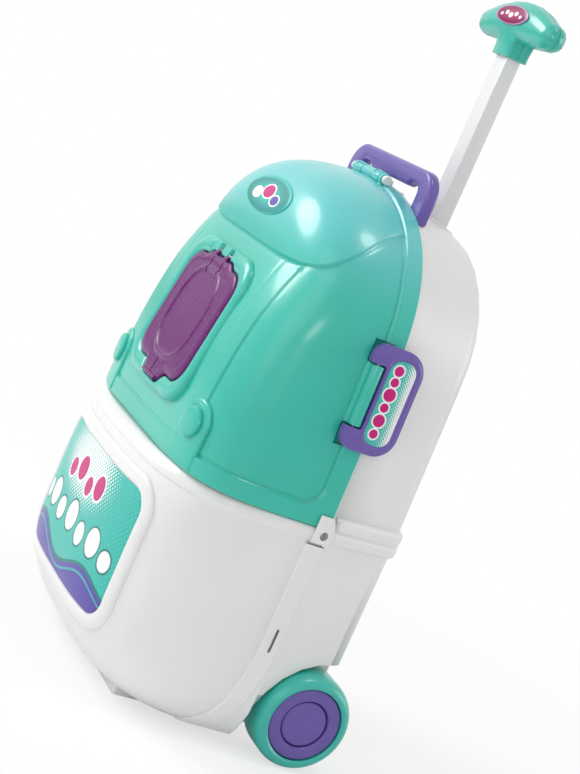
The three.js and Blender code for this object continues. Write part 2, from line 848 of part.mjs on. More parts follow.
addPair('handle_screw', screw(handleScrewHead, Z, handleScrewLength), steel, 0.4, 0.8);

// Lid hinge: axis along X, just above and in front of the seam
const hingeHeight = archTop + hingeLift;
const onHinge = (x) => vec(x, -hingeForward, hingeHeight);
const hingePinHead = hingeHalfLength - hingeHeadLength;
const armInner = hingeArmSpread - hingeArmWidth / 2;
const armOuter = hingeArmSpread + hingeArmWidth / 2;
const hingeBore = bar(onHinge(-farX), onHinge(farX), hingePinRadius + seatGap, hingeSides);
addPiece('lid_hinge_pin', joined(
  bar(onHinge(-hingeHalfLength + seatGap), onHinge(hingePinHead + seatGap), hingePinRadius, hingeSides),
  bar(onHinge(hingePinHead + seatGap), onHinge(hingeHalfLength), hingeRadius, hingeSides)
), white, 0.35);

function makeHingeArm() {
  const shape = outline([
    [-hingeForward, hingeHeight - hingeRadius],
    [0, archTop - wall / 2],
    [hingeArmRoot, archTop - wall],
    [hingeArmRoot, archTop + hingeArmRootLift],
    [0, hingeHeight],
    [-hingeForward, hingeHeight + hingeRadius]
  ]);
  const arm = prism(shape, lookingSideways, armInner, armOuter);
  return arm.add(bar(onHinge(armInner), onHinge(armOuter), hingeRadius, hingeSides));
}

// Frame on the side of the case, with u to the rear, v up along the leaning side and w outwards
const sideUp = vec(-sideLean, 0, shoulderRise).normalize();
const sideOrigin = vec(
  caseHalfWidth - sideLean * clipCentreRise / shoulderRise,
  0,
  partingHeight + clipCentreRise
);
const onSide = frameOf(Y, sideUp, sideOrigin);
const sidePoint = (u, v, w) => vec(u, v, w).applyMatrix4(onSide);
const catchFront = clipRearReach - clipLipThickness - clipCatchSlack - clipCatchThickness;

// Upper rear shell
function makeUpperRear() {
  const band = prism(
    rearPlan(rearBandProud, rearBandStart),
    lookingUp,
    upperShellBottom,
    partingHeight + rearBandUpper
  );
  const arms = bothSides(makeHingeArm());
  const catches = bothSides(prism(
    outline([
      [catchFront, -clipLipHalfLength + clipCatchSlack],
      [catchFront + clipCatchThickness, -clipLipHalfLength + clipCatchSlack],
      [catchFront + clipCatchThickness, clipLipHalfLength - clipCatchSlack],
      [catchFront, clipLipHalfLength - clipCatchSlack]
    ]),
    onSide, -wall * 2, clipCatchProud
  ));
  const skin = joined(upperRearBody(0, seatGap, upperShellBottom), band, arms);
  const inner = upperRearBody(wall, -cutOverrun, upperShellBottom - cutOverrun);
  const frontRoom = upperRearBody(wall, seatGap, upperShellBottom);
  const posts = shellScrews.map(([, post]) => bothSides(bar(
    vec(post.x, post.y, upperShellBottom),
    vec(post.x, post.y, upperShellBottom + shellPostHeight),
    screwPostRadius
  )));
  const guidePosts = guideScrewPlaces.map(([, z]) => bothSides(bar(
    vec(earX, earBack + seatGap, z),
    vec(earX, rearFace - wall / 2, z),
    screwPostRadius
  )));
  const handleBoss = bothSides(bar(
    vec(handleLegX, handleMidY, handleScrewHead.z + screwHeadHeight + seatGap),
    vec(handleLegX, handleMidY, archHeightAt(handleLegX, handleMidY)),
    screwPostRadius
  )).intersect(upperRearBody(wall / 2, 0, upperShellBottom));
  const hollow = cutBy(skin, inner.intersect(block(-farX, farX, 0, rearFace, 0, archTop)));
  const fitted = joined(hollow, catches.subtract(frontRoom), ...posts, ...guidePosts, handleBoss);
  const rooms = shellScrews.map(([, post]) => bothSides(screwRoom(shellScrewHead(post), Z)));
  const guideRooms = guideScrewPlaces.map(([, z]) => bothSides(screwRoom(guideScrewHead(z), Y)));
  return cutBy(fitted, ...rooms, ...guideRooms, handleScrewRoom, collarRoom, hingeBore);
}
addPiece('upper_rear_shell', makeUpperRear(), white, 0.3);
shellScrews.forEach(([name, post]) => {
  addPair(name, screw(shellScrewHead(post), Z), steel, 0.4, 0.8);
});

// Lower rear shell, with the wheel wells, the strip over the bowl's edge and the tabs for screws
function makeStrip() {
  const top = partingHeight - stripTopDrop;
  const toeTop = bowlFloorHeight + stripToeRise;
  const shape = new THREE.Shape();
  shape.moveTo(stripRear, 0);
  shape.lineTo(stripRear, top);
  shape.lineTo(-stripFront, top);
  shape.absellipse(
    -stripToeReach, toeTop,
    stripToeReach - stripFront, stripToeRise,
    0, -Math.PI / 2, true, 0
  );
  shape.lineTo(-stripToeReach, 0);
  const outer = bowlBody(runningGap + stripThickness, top, stripRear);
  const sheet = outer.intersect(prism(shape, lookingSideways, -farX, farX)).intersect(block(
    -farX, farX, -stripToeReach, stripRear, bowlFloorHeight + rearFloorRise, partingHeight
  ));
  const slotMiddle = bowlFloorHeight + stripSlotRise;
  const slot = block(
    -farX, farX,
    -stripFront / 2 - stripSlotWidth / 2, -stripFront / 2 + stripSlotWidth / 2,
    slotMiddle - stripSlotLength / 2, slotMiddle + stripSlotLength / 2
  );
  return cutBy(sheet, bowlBody(runningGap, bowlTop, seatGap), slot);
}

function makeLowerRear() {
  const body = lowerRearBody(0, seatGap, lowerShellTop);
  const band = prism(
    rearPlan(rearBandProud, rearBandStart),
    lookingUp,
    partingHeight - rearBandLower,
    lowerShellTop
  );
  const inner = lowerRearBody(wall, 0, lowerShellTop + cutOverrun);
  const shell = cutBy(joined(body, band, makeStrip()), inner);
  const wellCentre = (x) => vec(x, archCentreY, archCentreZ);
  const wellFloor = wheelWellInner - wall;
  const wells = bothSides(
    bar(wellCentre(wellFloor), wellCentre(farX), wheelArchRadius + wall, wheelSides)
  ).intersect(body);
  const wellRooms = bothSides(
    bar(wellCentre(wheelWellInner), wellCentre(farX), wheelArchRadius, wheelSides)
  );
  const tabs = shellScrews.map(([, post]) => bothSides(block(
    post.x - shellTabHalf,
    post.x + shellTabHalf,
    post.y - shellTabHalf,
    post.y + shellTabHalf,
    lowerShellTop - shellTabThickness,
    lowerShellTop
  )).intersect(body));
  const lugTab = block(
    lugTabOuter - lugTabDepth, lugTabOuter,
    -lugScrewForward - lugBossRadius, lugTabDepth,
    lowerShellTop - lugTabHeight, lowerShellTop
  );
  const rooms = shellScrews.map(([, post]) => bothSides(screwRoom(shellScrewHead(post), Z)));
  const bushRoom = bar(
    vec(-farX, wheelCentreY, wheelRadius),
    vec(farX, wheelCentreY, wheelRadius),
    axleBushRadius + seatGap
  );
  const fitted = joined(shell, wells, ...tabs, bothSides(lugTab));
  const lugRoom = lugNotch(lugTabOuter, lugBossRadius - lugScrewForward + seatGap);
  return cutBy(fitted, wellRooms, bushRoom, lugScrewRoom, lugRoom, ...rooms);
}
addPiece('lower_rear_shell', makeLowerRear(), white, 0.3);

// Seam lugs
function makeLug() {
  const shape = outline([
    [-lugFront, lugBottom],
    [lugRear, lugBottom],
    [lugRear, lugBottom + lugHeight - 2 * lugCut],
    [lugRear - lugCut, lugBottom + lugHeight],
    [-lugFront, lugBottom + lugHeight]
  ]);
  const plate = prism(shape, lookingSideways, lugOuter - lugThickness, lugOuter, lugThickness / 4);
  return joined(plate, lugBoss).subtract(lugScrewRoom);
}
addPair('seam_lug', makeLug(), white, 0.35);
addPair('seam_lug_screw', screw(lugScrewHead, inward), steel, 0.4, 0.8);

// Wheels on their axle
const wheelOuter = caseHalfWidth + wheelStandOut;
const wheelInner = wheelOuter - wheelWidth;
const hubFace = wheelOuter - hubDish;
const recessFloor = hubFace - hubRecessDepth;
const bushFlangeFace = wheelWellInner + seatGap + axleBushFlangeThickness;
const nutInner = recessFloor + runningGap;
const axleEnd = nutInner + axleNutThickness;

function makeTyre() {
  const profile = [[hubRadius + seatGap, wheelInner], [hubRadius + seatGap, wheelOuter]];
  for (let i = 0; i <= roundSteps; i += 1) {
    const angle = Math.PI / 2 * i / roundSteps;
    profile.push([
      wheelRadius - tyreRound + tyreRound * Math.sin(angle),
      wheelOuter - tyreRound + tyreRound * Math.cos(angle)
    ]);
  }
  for (let i = 0; i <= roundSteps; i += 1) {
    const angle = Math.PI / 2 * i / roundSteps;
    profile.push([
      wheelRadius - tyreRound + tyreRound * Math.cos(angle),
      wheelInner + tyreRound - tyreRound * Math.sin(angle)
    ]);
  }
  return turned(profile);
}
addPair('wheel_tyre', makeTyre(), mint, 0.4);

addPair('wheel_hub', turned([
  [axleRadius + seatGap, bushFlangeFace + hingeGap],
  [hubBossRadius, bushFlangeFace + hingeGap],
  [hubBossRadius, recessFloor - hubWeb],
  [hubCapRadius + hubWeb, recessFloor - hubWeb],
  [hubCapRadius + hubWeb, hubFace - hubWeb],
  [hubRadius - wall, hubFace - hubWeb],
  [hubRadius - wall, wheelInner],
  [hubRadius, wheelInner],
  [hubRadius, wheelOuter - hubDish / 2],
  [hubRadius - wall, hubFace],
  [hubCapRadius + seatGap, hubFace],
  [hubCapRadius + seatGap, recessFloor],
  [axleRadius + seatGap, recessFloor]
]), purple, 0.35);

addPair('wheel_cap', turned([
  [0, axleEnd + hingeGap],
  [hubCapRadius, axleEnd + hingeGap],
  [hubCapRadius, wheelOuter - hubCapRound],
  [hubCapRadius - hubCapRound, wheelOuter],
  [hubCapRadius - 3 * hubCapRound, wheelOuter],
  [hubCapRadius - 4 * hubCapRound, wheelOuter - hubCapRound / 2],
  [0, wheelOuter - hubCapRound / 2]
]), purple, 0.35);

addPair('axle_bush', turned([
  [axleRadius + seatGap, wheelWellInner - wall - axleBushReach],
  [axleBushRadius, wheelWellInner - wall - axleBushReach],
  [axleBushRadius, wheelWellInner + seatGap],
  [axleBushFlange, wheelWellInner + seatGap],
  [axleBushFlange, bushFlangeFace],
  [axleRadius + seatGap, bushFlangeFace]
], smallSides), footGrey, 0.5);

addPair('axle_nut', turned([
  [axleRadius + seatGap, nutInner],
  [axleNutRadius, nutInner],
  [axleNutRadius - axleNutThickness / 2, axleEnd],
  [axleRadius + seatGap, axleEnd]
], smallSides), steel, 0.4, 0.8);

addPiece('axle', bar(
  vec(-axleEnd, wheelCentreY, wheelRadius),
  vec(axleEnd, wheelCentreY, wheelRadius),
  axleRadius
), steel, 0.35, 0.8);

// Frame on the door's face, with v up along the leaning face and w outwards
const doorUp = vec(0, doorLean, doorLeanRise).normalize();
const onDoor = frameOf(X, doorUp, vec(0, -doorFaceDepth, partingHeight + doorCentreRise));
const doorPoint = (u, v, w) => vec(u, v, w).applyMatrix4(onDoor);
const doorTop = doorHeight / 2 + doorCrown;
const doorPinV = doorTop + doorPinRise;

// The door's outline: rounded corners, a crown at the hinge and a snap tab at the bottom
function doorShape(grow) {
  const half = doorHalfWidth + grow;
  const high = doorHeight / 2 + grow;
  const corner = doorCorner + grow;
  const crown = doorCrownHalfWidth + grow;
  const tab = doorTabHalfWidth + grow;
  const shape = new THREE.Shape();
  shape.moveTo(-tab + doorTabDrop / 2, -high - doorTabDrop);
  shape.lineTo(tab - doorTabDrop / 2, -high - doorTabDrop);
  shape.lineTo(tab, -high - doorTabDrop / 2);
  shape.lineTo(tab + doorTabDrop / 4, -high);
  shape.absarc(half - corner, corner - high, corner, -Math.PI / 2, 0, false);
  shape.absarc(half - corner, high - corner, corner, 0, Math.PI / 2, false);
  shape.lineTo(crown + doorCrown, high);
  shape.lineTo(crown, high + doorCrown);
  shape.lineTo(-crown, high + doorCrown);
  shape.lineTo(-crown - doorCrown, high);
  shape.absarc(corner - half, high - corner, corner, Math.PI / 2, Math.PI, false);
  shape.absarc(corner - half, corner - high, corner, Math.PI, 1.5 * Math.PI, false);
  shape.lineTo(-tab - doorTabDrop / 4, -high);
  shape.lineTo(-tab, -high - doorTabDrop / 2);
  return shape;
}

const knuckleEnds = (half) => [doorKnuckleSpread - half, doorKnuckleSpread + half];
const doorBore = bar(
  doorPoint(-doorPinHalfLength - seatGap, doorPinV, -doorPinSink),
  doorPoint(doorPinHalfLength + seatGap, doorPinV, -doorPinSink),
  doorPinRadius + seatGap
);

function makeDoor() {
  const plate = prism(doorShape(0), onDoor, -doorThickness, 0, doorBevel);
  const [inner, outer] = knuckleEnds(doorKnuckleWidth / 2);
  const neck = prism(
    outline([[inner, doorTop - doorThickness], [outer, doorTop - doorThickness], [outer, doorPinV],
      [inner, doorPinV]]),
    onDoor, -doorThickness, 0
  );
  const knuckle = bar(
    doorPoint(inner, doorPinV, -doorPinSink),
    doorPoint(outer, doorPinV, -doorPinSink),
    doorKnuckleRadius
  );
  const slit = (u, v0, v1) => prism(
    outline([[u - doorSlitWidth / 2, v0], [u + doorSlitWidth / 2, v0], [u + doorSlitWidth / 2, v1],
      [u - doorSlitWidth / 2, v1]]),
    onDoor, -doorThickness - cutOverrun, cutOverrun
  );
  const topSlit = slit(doorKnuckleSpread, doorTop - doorThickness - doorSlitLength, doorTop - doorThickness);
  const tabBottom = -doorHeight / 2 - doorTabDrop;
  const tabSlit = slit(0, tabBottom + doorThickness, tabBottom + doorThickness + doorSlitLength);
  const body = joined(plate, bothSides(neck), bothSides(knuckle));
  return cutBy(body, bothSides(topSlit), tabSlit, doorBore);
}
addPiece('door', makeDoor(), doorPurple, 0.25);
addPiece('door_hinge_pin', bar(
  doorPoint(-doorPinHalfLength, doorPinV, -doorPinSink),
  doorPoint(doorPinHalfLength, doorPinV, -doorPinSink),
  doorPinRadius
), steel, 0.4, 0.8);

// Frame round the door, through the lid's wall
const surroundHalfWidth = doorHalfWidth + surroundSide;
const surroundShape = roundedBox(
  -surroundHalfWidth, surroundHalfWidth,
  -doorHeight / 2 - doorTabDrop - surroundBottom, doorTop + surroundTop,
  doorCorner + surroundSide / 2
);

// Pocket behind the door, screwed to the frame from the inside
const pocketHalfWidth = doorHalfWidth + doorGap - seatGap;
const pocketHalfHeight = doorHeight / 2 + doorGap - seatGap;
const pocketFront = -doorThickness - hingeGap;
const flangeFront = -surroundDepth - seatGap;
const pocketScrewX = (pocketHalfWidth + surroundHalfWidth) / 2;
const inwardFromDoor = vec(0, 0, 1).transformDirection(onDoor);
const pocketScrewHead = (v) => {
  return doorPoint(pocketScrewX, v, flangeFront - pocketWall - screwHeadHeight - seatGap);
};
const pocketScrewPlaces = [['lower', -pocketScrewRise], ['upper', pocketScrewRise]];
const pocketScrewRooms = pocketScrewPlaces.map(([, v]) => {
  return bothSides(screwRoom(pocketScrewHead(v), inwardFromDoor, pocketScrewLength));
});

function makePocket() {
  const box = (inset, corner) => roundedBox(
    inset - pocketHalfWidth, pocketHalfWidth - inset,
    inset - pocketHalfHeight, pocketHalfHeight - inset,
    corner
  );
  const body = prism(box(0, doorCorner), onDoor, -pocketDepth, pocketFront);
  const flange = prism(
    roundedBox(-surroundHalfWidth, surroundHalfWidth, -pocketHalfHeight, pocketHalfHeight, doorCorner),
    onDoor, flangeFront - pocketWall, flangeFront
  );
  const hollow = prism(
    box(pocketWall, doorCorner - pocketWall),
    onDoor, pocketWall - pocketDepth, cutOverrun
  );
  return cutBy(joined(body, flange), hollow, ...pocketScrewRooms);
}
addPiece('door_pocket', makePocket(), mint, 0.4);
pocketScrewPlaces.forEach(([place, v]) => {
  addPair(
    `pocket_screw_${place}`,
    screw(pocketScrewHead(v), inwardFromDoor, pocketScrewLength),
    steel, 0.4, 0.8
  );
});

// Height of the wave step at a distance from the seam, as an outline of the region above it
function aboveWave() {
  const points = [];
  const low = partingHeight + waveLowRise;
  for (let i = 0; i <= waveSteps; i += 1) {
    const share = i / waveSteps;
    const y = -waveFront + (waveFront - rimBandDepth) * share;
    points.push([y, low + waveRise * share * share * (3 - 2 * share)]);
  }
  points.unshift([-lidBelly - cutOverrun, low]);
  points.push([0, low + waveRise]);
  points.push([0, archTop + cutOverrun], [-lidBelly - cutOverrun, archTop + cutOverrun]);
  return prism(outline(points), lookingSideways, -farX, farX);
}

// Clip barrel and its pin on the side of the lid
const clipPin = (v) => sidePoint(-clipPinForward, v, clipPinOut);
const clipBore = bar(
  clipPin(-clipHalfLength - cutOverrun),
  clipPin(clipHalfLength + cutOverrun),
  clipPinRadius + seatGap
);

function makeClipBarrel() {
  const barrel = bar(clipPin(-clipBarrelHalfLength), clipPin(clipBarrelHalfLength), clipBarrelRadius);
  const web = prism(
    outline([
      [-clipPinForward - clipBarrelRadius, -clipBarrelHalfLength],
      [-clipPinForward + clipBarrelRadius / 2, -clipBarrelHalfLength],
      [-clipPinForward + clipBarrelRadius / 2, clipBarrelHalfLength],
      [-clipPinForward - clipBarrelRadius, clipBarrelHalfLength]
    ]),
    onSide, -wall / 2, clipPinOut
  );
  return joined(barrel, web);
}

// Lid shell
function makeLid() {
  const trim = -lidTrimProud;
  const rimBand = prism(archOutline(lidTrimProud, lidBottom), lookingForward, 0, rimBandDepth);
  const bottomBand = lidBody(trim, lidBottom).intersect(
    block(-farX, farX, -labelReach, 0, 0, lidBottom + bottomBandHeight)
  );
  const dome = lidBody(-domeProud, lidBottom).intersect(aboveWave());
  const padShape = new THREE.Shape();
  padShape.moveTo(bossSpread - bossPadHalfWidth, lidBottom);
  padShape.lineTo(bossSpread + bossPadHalfWidth, lidBottom);
  padShape.absarc(bossSpread, partingHeight + bossRise, bossPadHalfWidth, 0, Math.PI, false);
  const pad = lidBody(-bossPadProud, lidBottom).intersect(
    prism(padShape, lookingForward, lidBelly / 2, labelReach)
  );
  const boss = lidBody(-bossProud, lidBottom).intersect(bar(
    vec(bossSpread, -lidBelly / 2, partingHeight + bossRise),
    vec(bossSpread, -labelReach, partingHeight + bossRise),
    bossRadius
  ));
  const barrels = [
    [-hingeHalfLength, -armOuter - runningGap],
    [-armInner + runningGap, armInner - runningGap],
    [armOuter + runningGap, hingePinHead]
  ].map(([from, to]) => bar(onHinge(from), onHinge(to), hingeRadius, hingeSides));
  const saddle = block(
    -hingeHalfLength, hingePinHead,
    -hingeForward - hingeRadius / 2, -hingeForward + hingeRadius / 2,
    archTop - wall, hingeHeight
  );
  const armRoom = block(
    armInner - runningGap, armOuter + runningGap,
    -hingeForward - hingeRadius - hingeGap, cutOverrun,
    archTop - 2 * wall - lidTrimProud, hingeHeight + 2 * hingeRadius
  );
  const pinHeadRoom = bar(
    onHinge(hingePinHead), onHinge(hingeHalfLength + runningGap), hingeRadius + runningGap, hingeSides
  );
  const surround = prism(surroundShape, onDoor, -surroundDepth, surroundProud, surroundBevel);
  const skin = joined(lidBody(0, lidBottom), rimBand, bottomBand, dome, bothSides(pad), bothSides(boss));
  const hollow = skin.subtract(lidBody(wall, lidBottom - cutOverrun, cutOverrun));
  const body = joined(hollow, saddle, ...barrels, surround, bothSides(makeClipBarrel()));
  const doorway = prism(doorShape(doorGap), onDoor, -surroundDepth - cutOverrun, cutOverrun);
  const [inner, outer] = knuckleEnds(doorKnuckleWidth / 2 + runningGap);
  const knuckleRoom = bar(
    doorPoint(inner, doorPinV, -doorPinSink),
    doorPoint(outer, doorPinV, -doorPinSink),
    doorKnuckleRadius + hingeGap
  ).add(prism(
    outline([[inner, doorTop - doorThickness], [outer, doorTop - doorThickness],
      [outer, doorPinV + doorKnuckleRadius], [inner, doorPinV + doorKnuckleRadius]]),
    onDoor, -doorPinSink, cutOverrun
  ));
  return cutBy(
    body,
    bothSides(armRoom), pinHeadRoom, hingeBore, doorway, bothSides(knuckleRoom), doorBore,
    ...pocketScrewRooms, bothSides(clipBore)
  );
}
addPiece('lid_shell', makeLid(), mint, 0.3);
addPair('side_clip_pin', bar(
  clipPin(-clipHalfLength + clipFrontCorner),
  clipPin(clipHalfLength - clipFrontCorner),
  clipPinRadius
), steel, 0.4, 0.8);

// Oval badge on the dome
const badgeUp = vec(0, badgeTilt, 1).normalize();
const onBadge = frameOf(X, badgeUp, vec(0, 0, partingHeight + badgeRise));
const badgeOuter = lidBody(-domeProud - seatGap - badgeThickness, lidBottom);
const badge = badgeOuter.subtract(lidBody(-domeProud - seatGap, lidBottom)).intersect(
  prism(ellipse(0, 0, badgeHalfWidth, badgeHalfHeight), onBadge, lidBelly / 2, lidBelly + cutOverrun)
);
addPiece('lid_badge', badge, labelTeal, 0.4);

// Side clips with their label plates
function clipShape(border, frontBorder) {
  const front = -clipPinForward - clipBarrelRadius + frontBorder;
  const rear = clipRearReach - border;
  const high = clipHalfLength - border;
  const rearCorner = clipRearCorner - border;
  const shape = new THREE.Shape();
  shape.absarc(rear - rearCorner, rearCorner - high, rearCorner, -Math.PI / 2, 0, false);
  shape.absarc(rear - rearCorner, high - rearCorner, rearCorner, 0, Math.PI / 2, false);
  shape.absarc(front + clipFrontCorner, high - clipFrontCorner, clipFrontCorner,
    Math.PI / 2, Math.PI, false);
  shape.absarc(front + clipFrontCorner, clipFrontCorner - high, clipFrontCorner,
    Math.PI, 1.5 * Math.PI, false);
  return shape;
}

const clipLabelSeat = clipPlateOuter - clipLabelDepth;

function makeClip() {
  const behindPin = prism(
    outline([
      [-clipPinForward, -clipHalfLength - cutOverrun],
      [clipRearReach + cutOverrun, -clipHalfLength - cutOverrun],
      [clipRearReach + cutOverrun, clipHalfLength + cutOverrun],
      [-clipPinForward, clipHalfLength + cutOverrun]
    ]),
    onSide, -cutOverrun, clipPlateOuter + cutOverrun
  );
  const plate = prism(clipShape(0, 0), onSide, clipPlateInner, clipPlateOuter, clipBevel);
  const ears = bar(
    clipPin(-clipHalfLength + clipBevel),
    clipPin(clipHalfLength - clipBevel),
    clipBarrelRadius
  );
  const lip = prism(
    outline([
      [clipRearReach - clipLipThickness, -clipLipHalfLength],
      [clipRearReach - clipBevel, -clipLipHalfLength],
      [clipRearReach - clipBevel, clipLipHalfLength],
      [clipRearReach - clipLipThickness, clipLipHalfLength]
    ]),
    onSide, -clipLipDepth, (clipPlateInner + clipPlateOuter) / 2
  );
  const barrelRoom = bar(
    clipPin(-clipBarrelHalfLength - runningGap),
    clipPin(clipBarrelHalfLength + runningGap),
    clipBarrelRadius + hingeGap
  );
  const labelRoom = prism(
    clipShape(clipLabelBorder - seatGap, clipLabelFrontBorder + clipLabelBorder - seatGap),
    onSide, clipLabelSeat, clipPlateOuter + cutOverrun
  );
  const body = joined(plate.intersect(behindPin), ears, lip);
  return cutBy(body, barrelRoom, clipBore, labelRoom);
}
addPair('side_clip', makeClip(), purple, 0.3);
addPair('side_clip_label', prism(
  clipShape(clipLabelBorder, clipLabelFrontBorder + clipLabelBorder),
  onSide, clipLabelSeat + seatGap, clipLabelSeat + seatGap + clipLabelThickness
), labelTeal, 0.4);

// Pull rod, its stop and its T grip in two halves
const gripBottom = collarTop + rodTravel + gripRodGap;
const gripBarMiddle = gripBottom + gripNeckRise + gripMidRadius;
const rodTop = gripBottom + gripSocket;
const gripScrewHead = vec(gripScrewSpread, rodCentreY + gripScrewDepth, gripBarMiddle - gripEndDrop / 2);
const gripRodScrewHead = vec(0, rodCentreY + gripNeckHalfDepth, gripBottom + gripNeckRise / 2);
const forward = Y.clone().negate();

// The grip's bar, thick in the middle and round at its ends, grown by an amount
function gripBarBody(grow) {
  const end = gripHalfWidth - gripEndRadius;
  const sizes = [];
  for (let i = 0; i < gripSteps; i += 1) {
    const share = (i / gripSteps) ** 2;
    const high = gripMidRadius + (gripEndRadius - gripMidRadius) * share;
    const deep = gripHalfDepth + (gripEndRadius - gripHalfDepth) * share;
    sizes.push([end * i / gripSteps, deep + grow, high + grow, gripEndDrop * share]);
  }
  for (let i = 0; i <= roundSteps; i += 1) {
    const angle = Math.PI / 2 * (i < roundSteps ? i / roundSteps : 1 - 1 / (8 * roundSteps));
    const size = (gripEndRadius + grow) * Math.cos(angle);
    sizes.push([end + (gripEndRadius + grow) * Math.sin(angle), size, size, gripEndDrop]);
  }
  const left = sizes.slice(1).reverse().map(([x, ...rest]) => [-x, ...rest]);
  return loft(left.concat(sizes).map(([x, deep, high, drop]) => ovalRing(
    vec(x, rodCentreY, gripBarMiddle - drop), vec(0, deep, 0), vec(0, 0, high), gripBarPower
  )));
}

function makeGrip() {
  const neckPlaces = [[gripBottom, 0], [gripBottom + gripNeckRise / 2, 0], [gripBarMiddle, gripNeckFlare]];
  const neck = loft(neckPlaces.map(([z, flare]) => ovalRing(
    vec(0, rodCentreY, z),
    vec(gripNeckHalfWidth + flare, 0, 0),
    vec(0, gripNeckHalfDepth + flare, 0),
    gripNeckPower
  )));
  const socket = rodBox(
    rodHalfWidth + seatGap, rodHalfDepth + seatGap,
    gripBottom - cutOverrun, rodTop + seatGap
  );
  return cutBy(
    gripBarBody(0).add(neck), socket,
    bothSides(screwRoom(gripScrewHead, forward, gripScrewLength)),
    screwRoom(gripRodScrewHead, forward, gripRodScrewLength)
  );
}

const grip = makeGrip();
const gripLow = gripBottom - cutOverrun;
const gripHigh = gripBarMiddle + gripMidRadius + cutOverrun;
addPiece('grip_front', grip.intersect(
  block(-farX, farX, -farX, rodCentreY - seatGap / 2, gripLow, gripHigh)
), mint, 0.3);
addPiece('grip_rear', grip.intersect(
  block(-farX, farX, rodCentreY + seatGap / 2, farX, gripLow, gripHigh)
), mint, 0.3);
const gripBadgeOutline = ellipse(0, gripBarMiddle + gripBadgeLift, gripBadgeHalfWidth, gripBadgeHalfHeight);
const gripBadge = gripBarBody(seatGap + gripBadgeThickness).subtract(gripBarBody(seatGap));
addPiece('grip_badge', gripBadge.intersect(
  prism(gripBadgeOutline, lookingForward, -rodCentreY, cutOverrun)
), magenta, 0.4);
addPair('grip_screw', screw(gripScrewHead, forward, gripScrewLength), steel, 0.4, 0.8);
addPiece('grip_rod_screw', screw(gripRodScrewHead, forward, gripRodScrewLength), steel, 0.4, 0.8);

const rodTube = rodBox(rodHalfWidth, rodHalfDepth, rodBottom, rodTop);
const rodBore = rodBox(
  rodHalfWidth - rodWall, rodHalfDepth - rodWall,
  rodBottom - cutOverrun, rodTop + cutOverrun
);
addPiece('pull_rod', cutBy(
  rodTube, rodBore,
  screwRoom(gripRodScrewHead, forward, gripRodScrewLength)
), rodGrey, 0.3);
addPiece('rod_stop', joined(
  rodBox(sleeveHalfWidth, sleeveHalfDepth, rodStopTop - rodStopHeight, rodStopTop),
  rodBox(
    rodHalfWidth - rodWall - seatGap, rodHalfDepth - rodWall - seatGap,
    rodStopTop - rodStopHeight / 2, rodBottom + rodStopPlug
  )
), footGrey, 0.5);

// The origin lies on the floor under the middle of the case's box, from the front of the label to the
// back of the wheels
const frontReach = bowlBelly + seatGap + labelThickness;
const rearReach = wheelCentreY + wheelRadius;
model.position.y = (frontReach - rearReach) / 2;

export default model;
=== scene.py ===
"""Looks of a toy doctor case: pieces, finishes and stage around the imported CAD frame, in metres."""

import json
import math

import bpy
import numpy as np
from mathutils import Matrix, Vector


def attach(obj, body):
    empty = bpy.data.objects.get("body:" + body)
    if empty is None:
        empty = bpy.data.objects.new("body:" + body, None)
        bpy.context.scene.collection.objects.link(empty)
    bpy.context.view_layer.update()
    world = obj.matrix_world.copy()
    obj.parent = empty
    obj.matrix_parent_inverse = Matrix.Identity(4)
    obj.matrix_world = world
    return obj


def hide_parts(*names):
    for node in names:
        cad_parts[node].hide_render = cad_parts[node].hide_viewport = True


bl_info = {
    "name": "Toy doctor case",
    "version": (1, 0, 0),
    "blender": (4, 5, 0),
    "location": "3D view > Sidebar > Case",
    "description": "Dresses the frame of a toy doctor case with its moulded pieces, prints and finishes",
    "category": "Object",
}

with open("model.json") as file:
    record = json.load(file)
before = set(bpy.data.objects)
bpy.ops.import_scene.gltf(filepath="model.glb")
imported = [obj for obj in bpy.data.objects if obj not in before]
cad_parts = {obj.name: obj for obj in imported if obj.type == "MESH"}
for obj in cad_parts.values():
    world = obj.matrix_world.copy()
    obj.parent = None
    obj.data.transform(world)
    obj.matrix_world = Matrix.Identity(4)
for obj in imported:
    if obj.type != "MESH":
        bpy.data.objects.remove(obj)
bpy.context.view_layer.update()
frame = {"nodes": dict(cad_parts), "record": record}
NODES = frame["nodes"]

MM = 0.001                  # a millimetre, in metres
SEAM_SHIFT = 19.85          # the seam's place along Y, in millimetres
GAP = 0.3                   # play between the lid and the bowl

# Bare case, in millimetres, measured from the seam and the floor. A power is that of a superellipse.
CASE_HALF, PARTING, SHOULDER_RISE, SIDE_LEAN = 136.5, 172.5, 112.5, 6.0
ARCH_RISE, ARCH_POWER = 111.0, 2.25
SHOULDER = PARTING + SHOULDER_RISE
SHOULDER_HALF = CASE_HALF - SIDE_LEAN
ARCH_TOP = SHOULDER + ARCH_RISE
LID_BELLY, LID_LEAN, LEAN_POWER = 103.0, 22.5, 2.44
DOME_POWER, DOME_PROUD, LID_CORNER, DOME_CORNER = 2.8, 1.4, 4.6, 2.8
WAVE_LOW, WAVE_RISE, WAVE_FRONT, WAVE_REAR = 154.5, 44.5, 84.0, 12.0
BOWL_BELLY, BOWL_FLOOR, BELLY_RISE = 120.0, 7.0, 66.0
TOE_DROP, RIM_DROP, RIM_POWER, BOWL_CORNER = 46.0, 12.0, 6.0, 3.3
SIDE_ROUND, SIDE_ROUND_HIGH = 26.0, 36.0
REAR_TAPER, REAR_DEPTH, REAR_ROUND = 12.0, 54.0, 10.0
REAR_FACE = REAR_DEPTH + REAR_ROUND

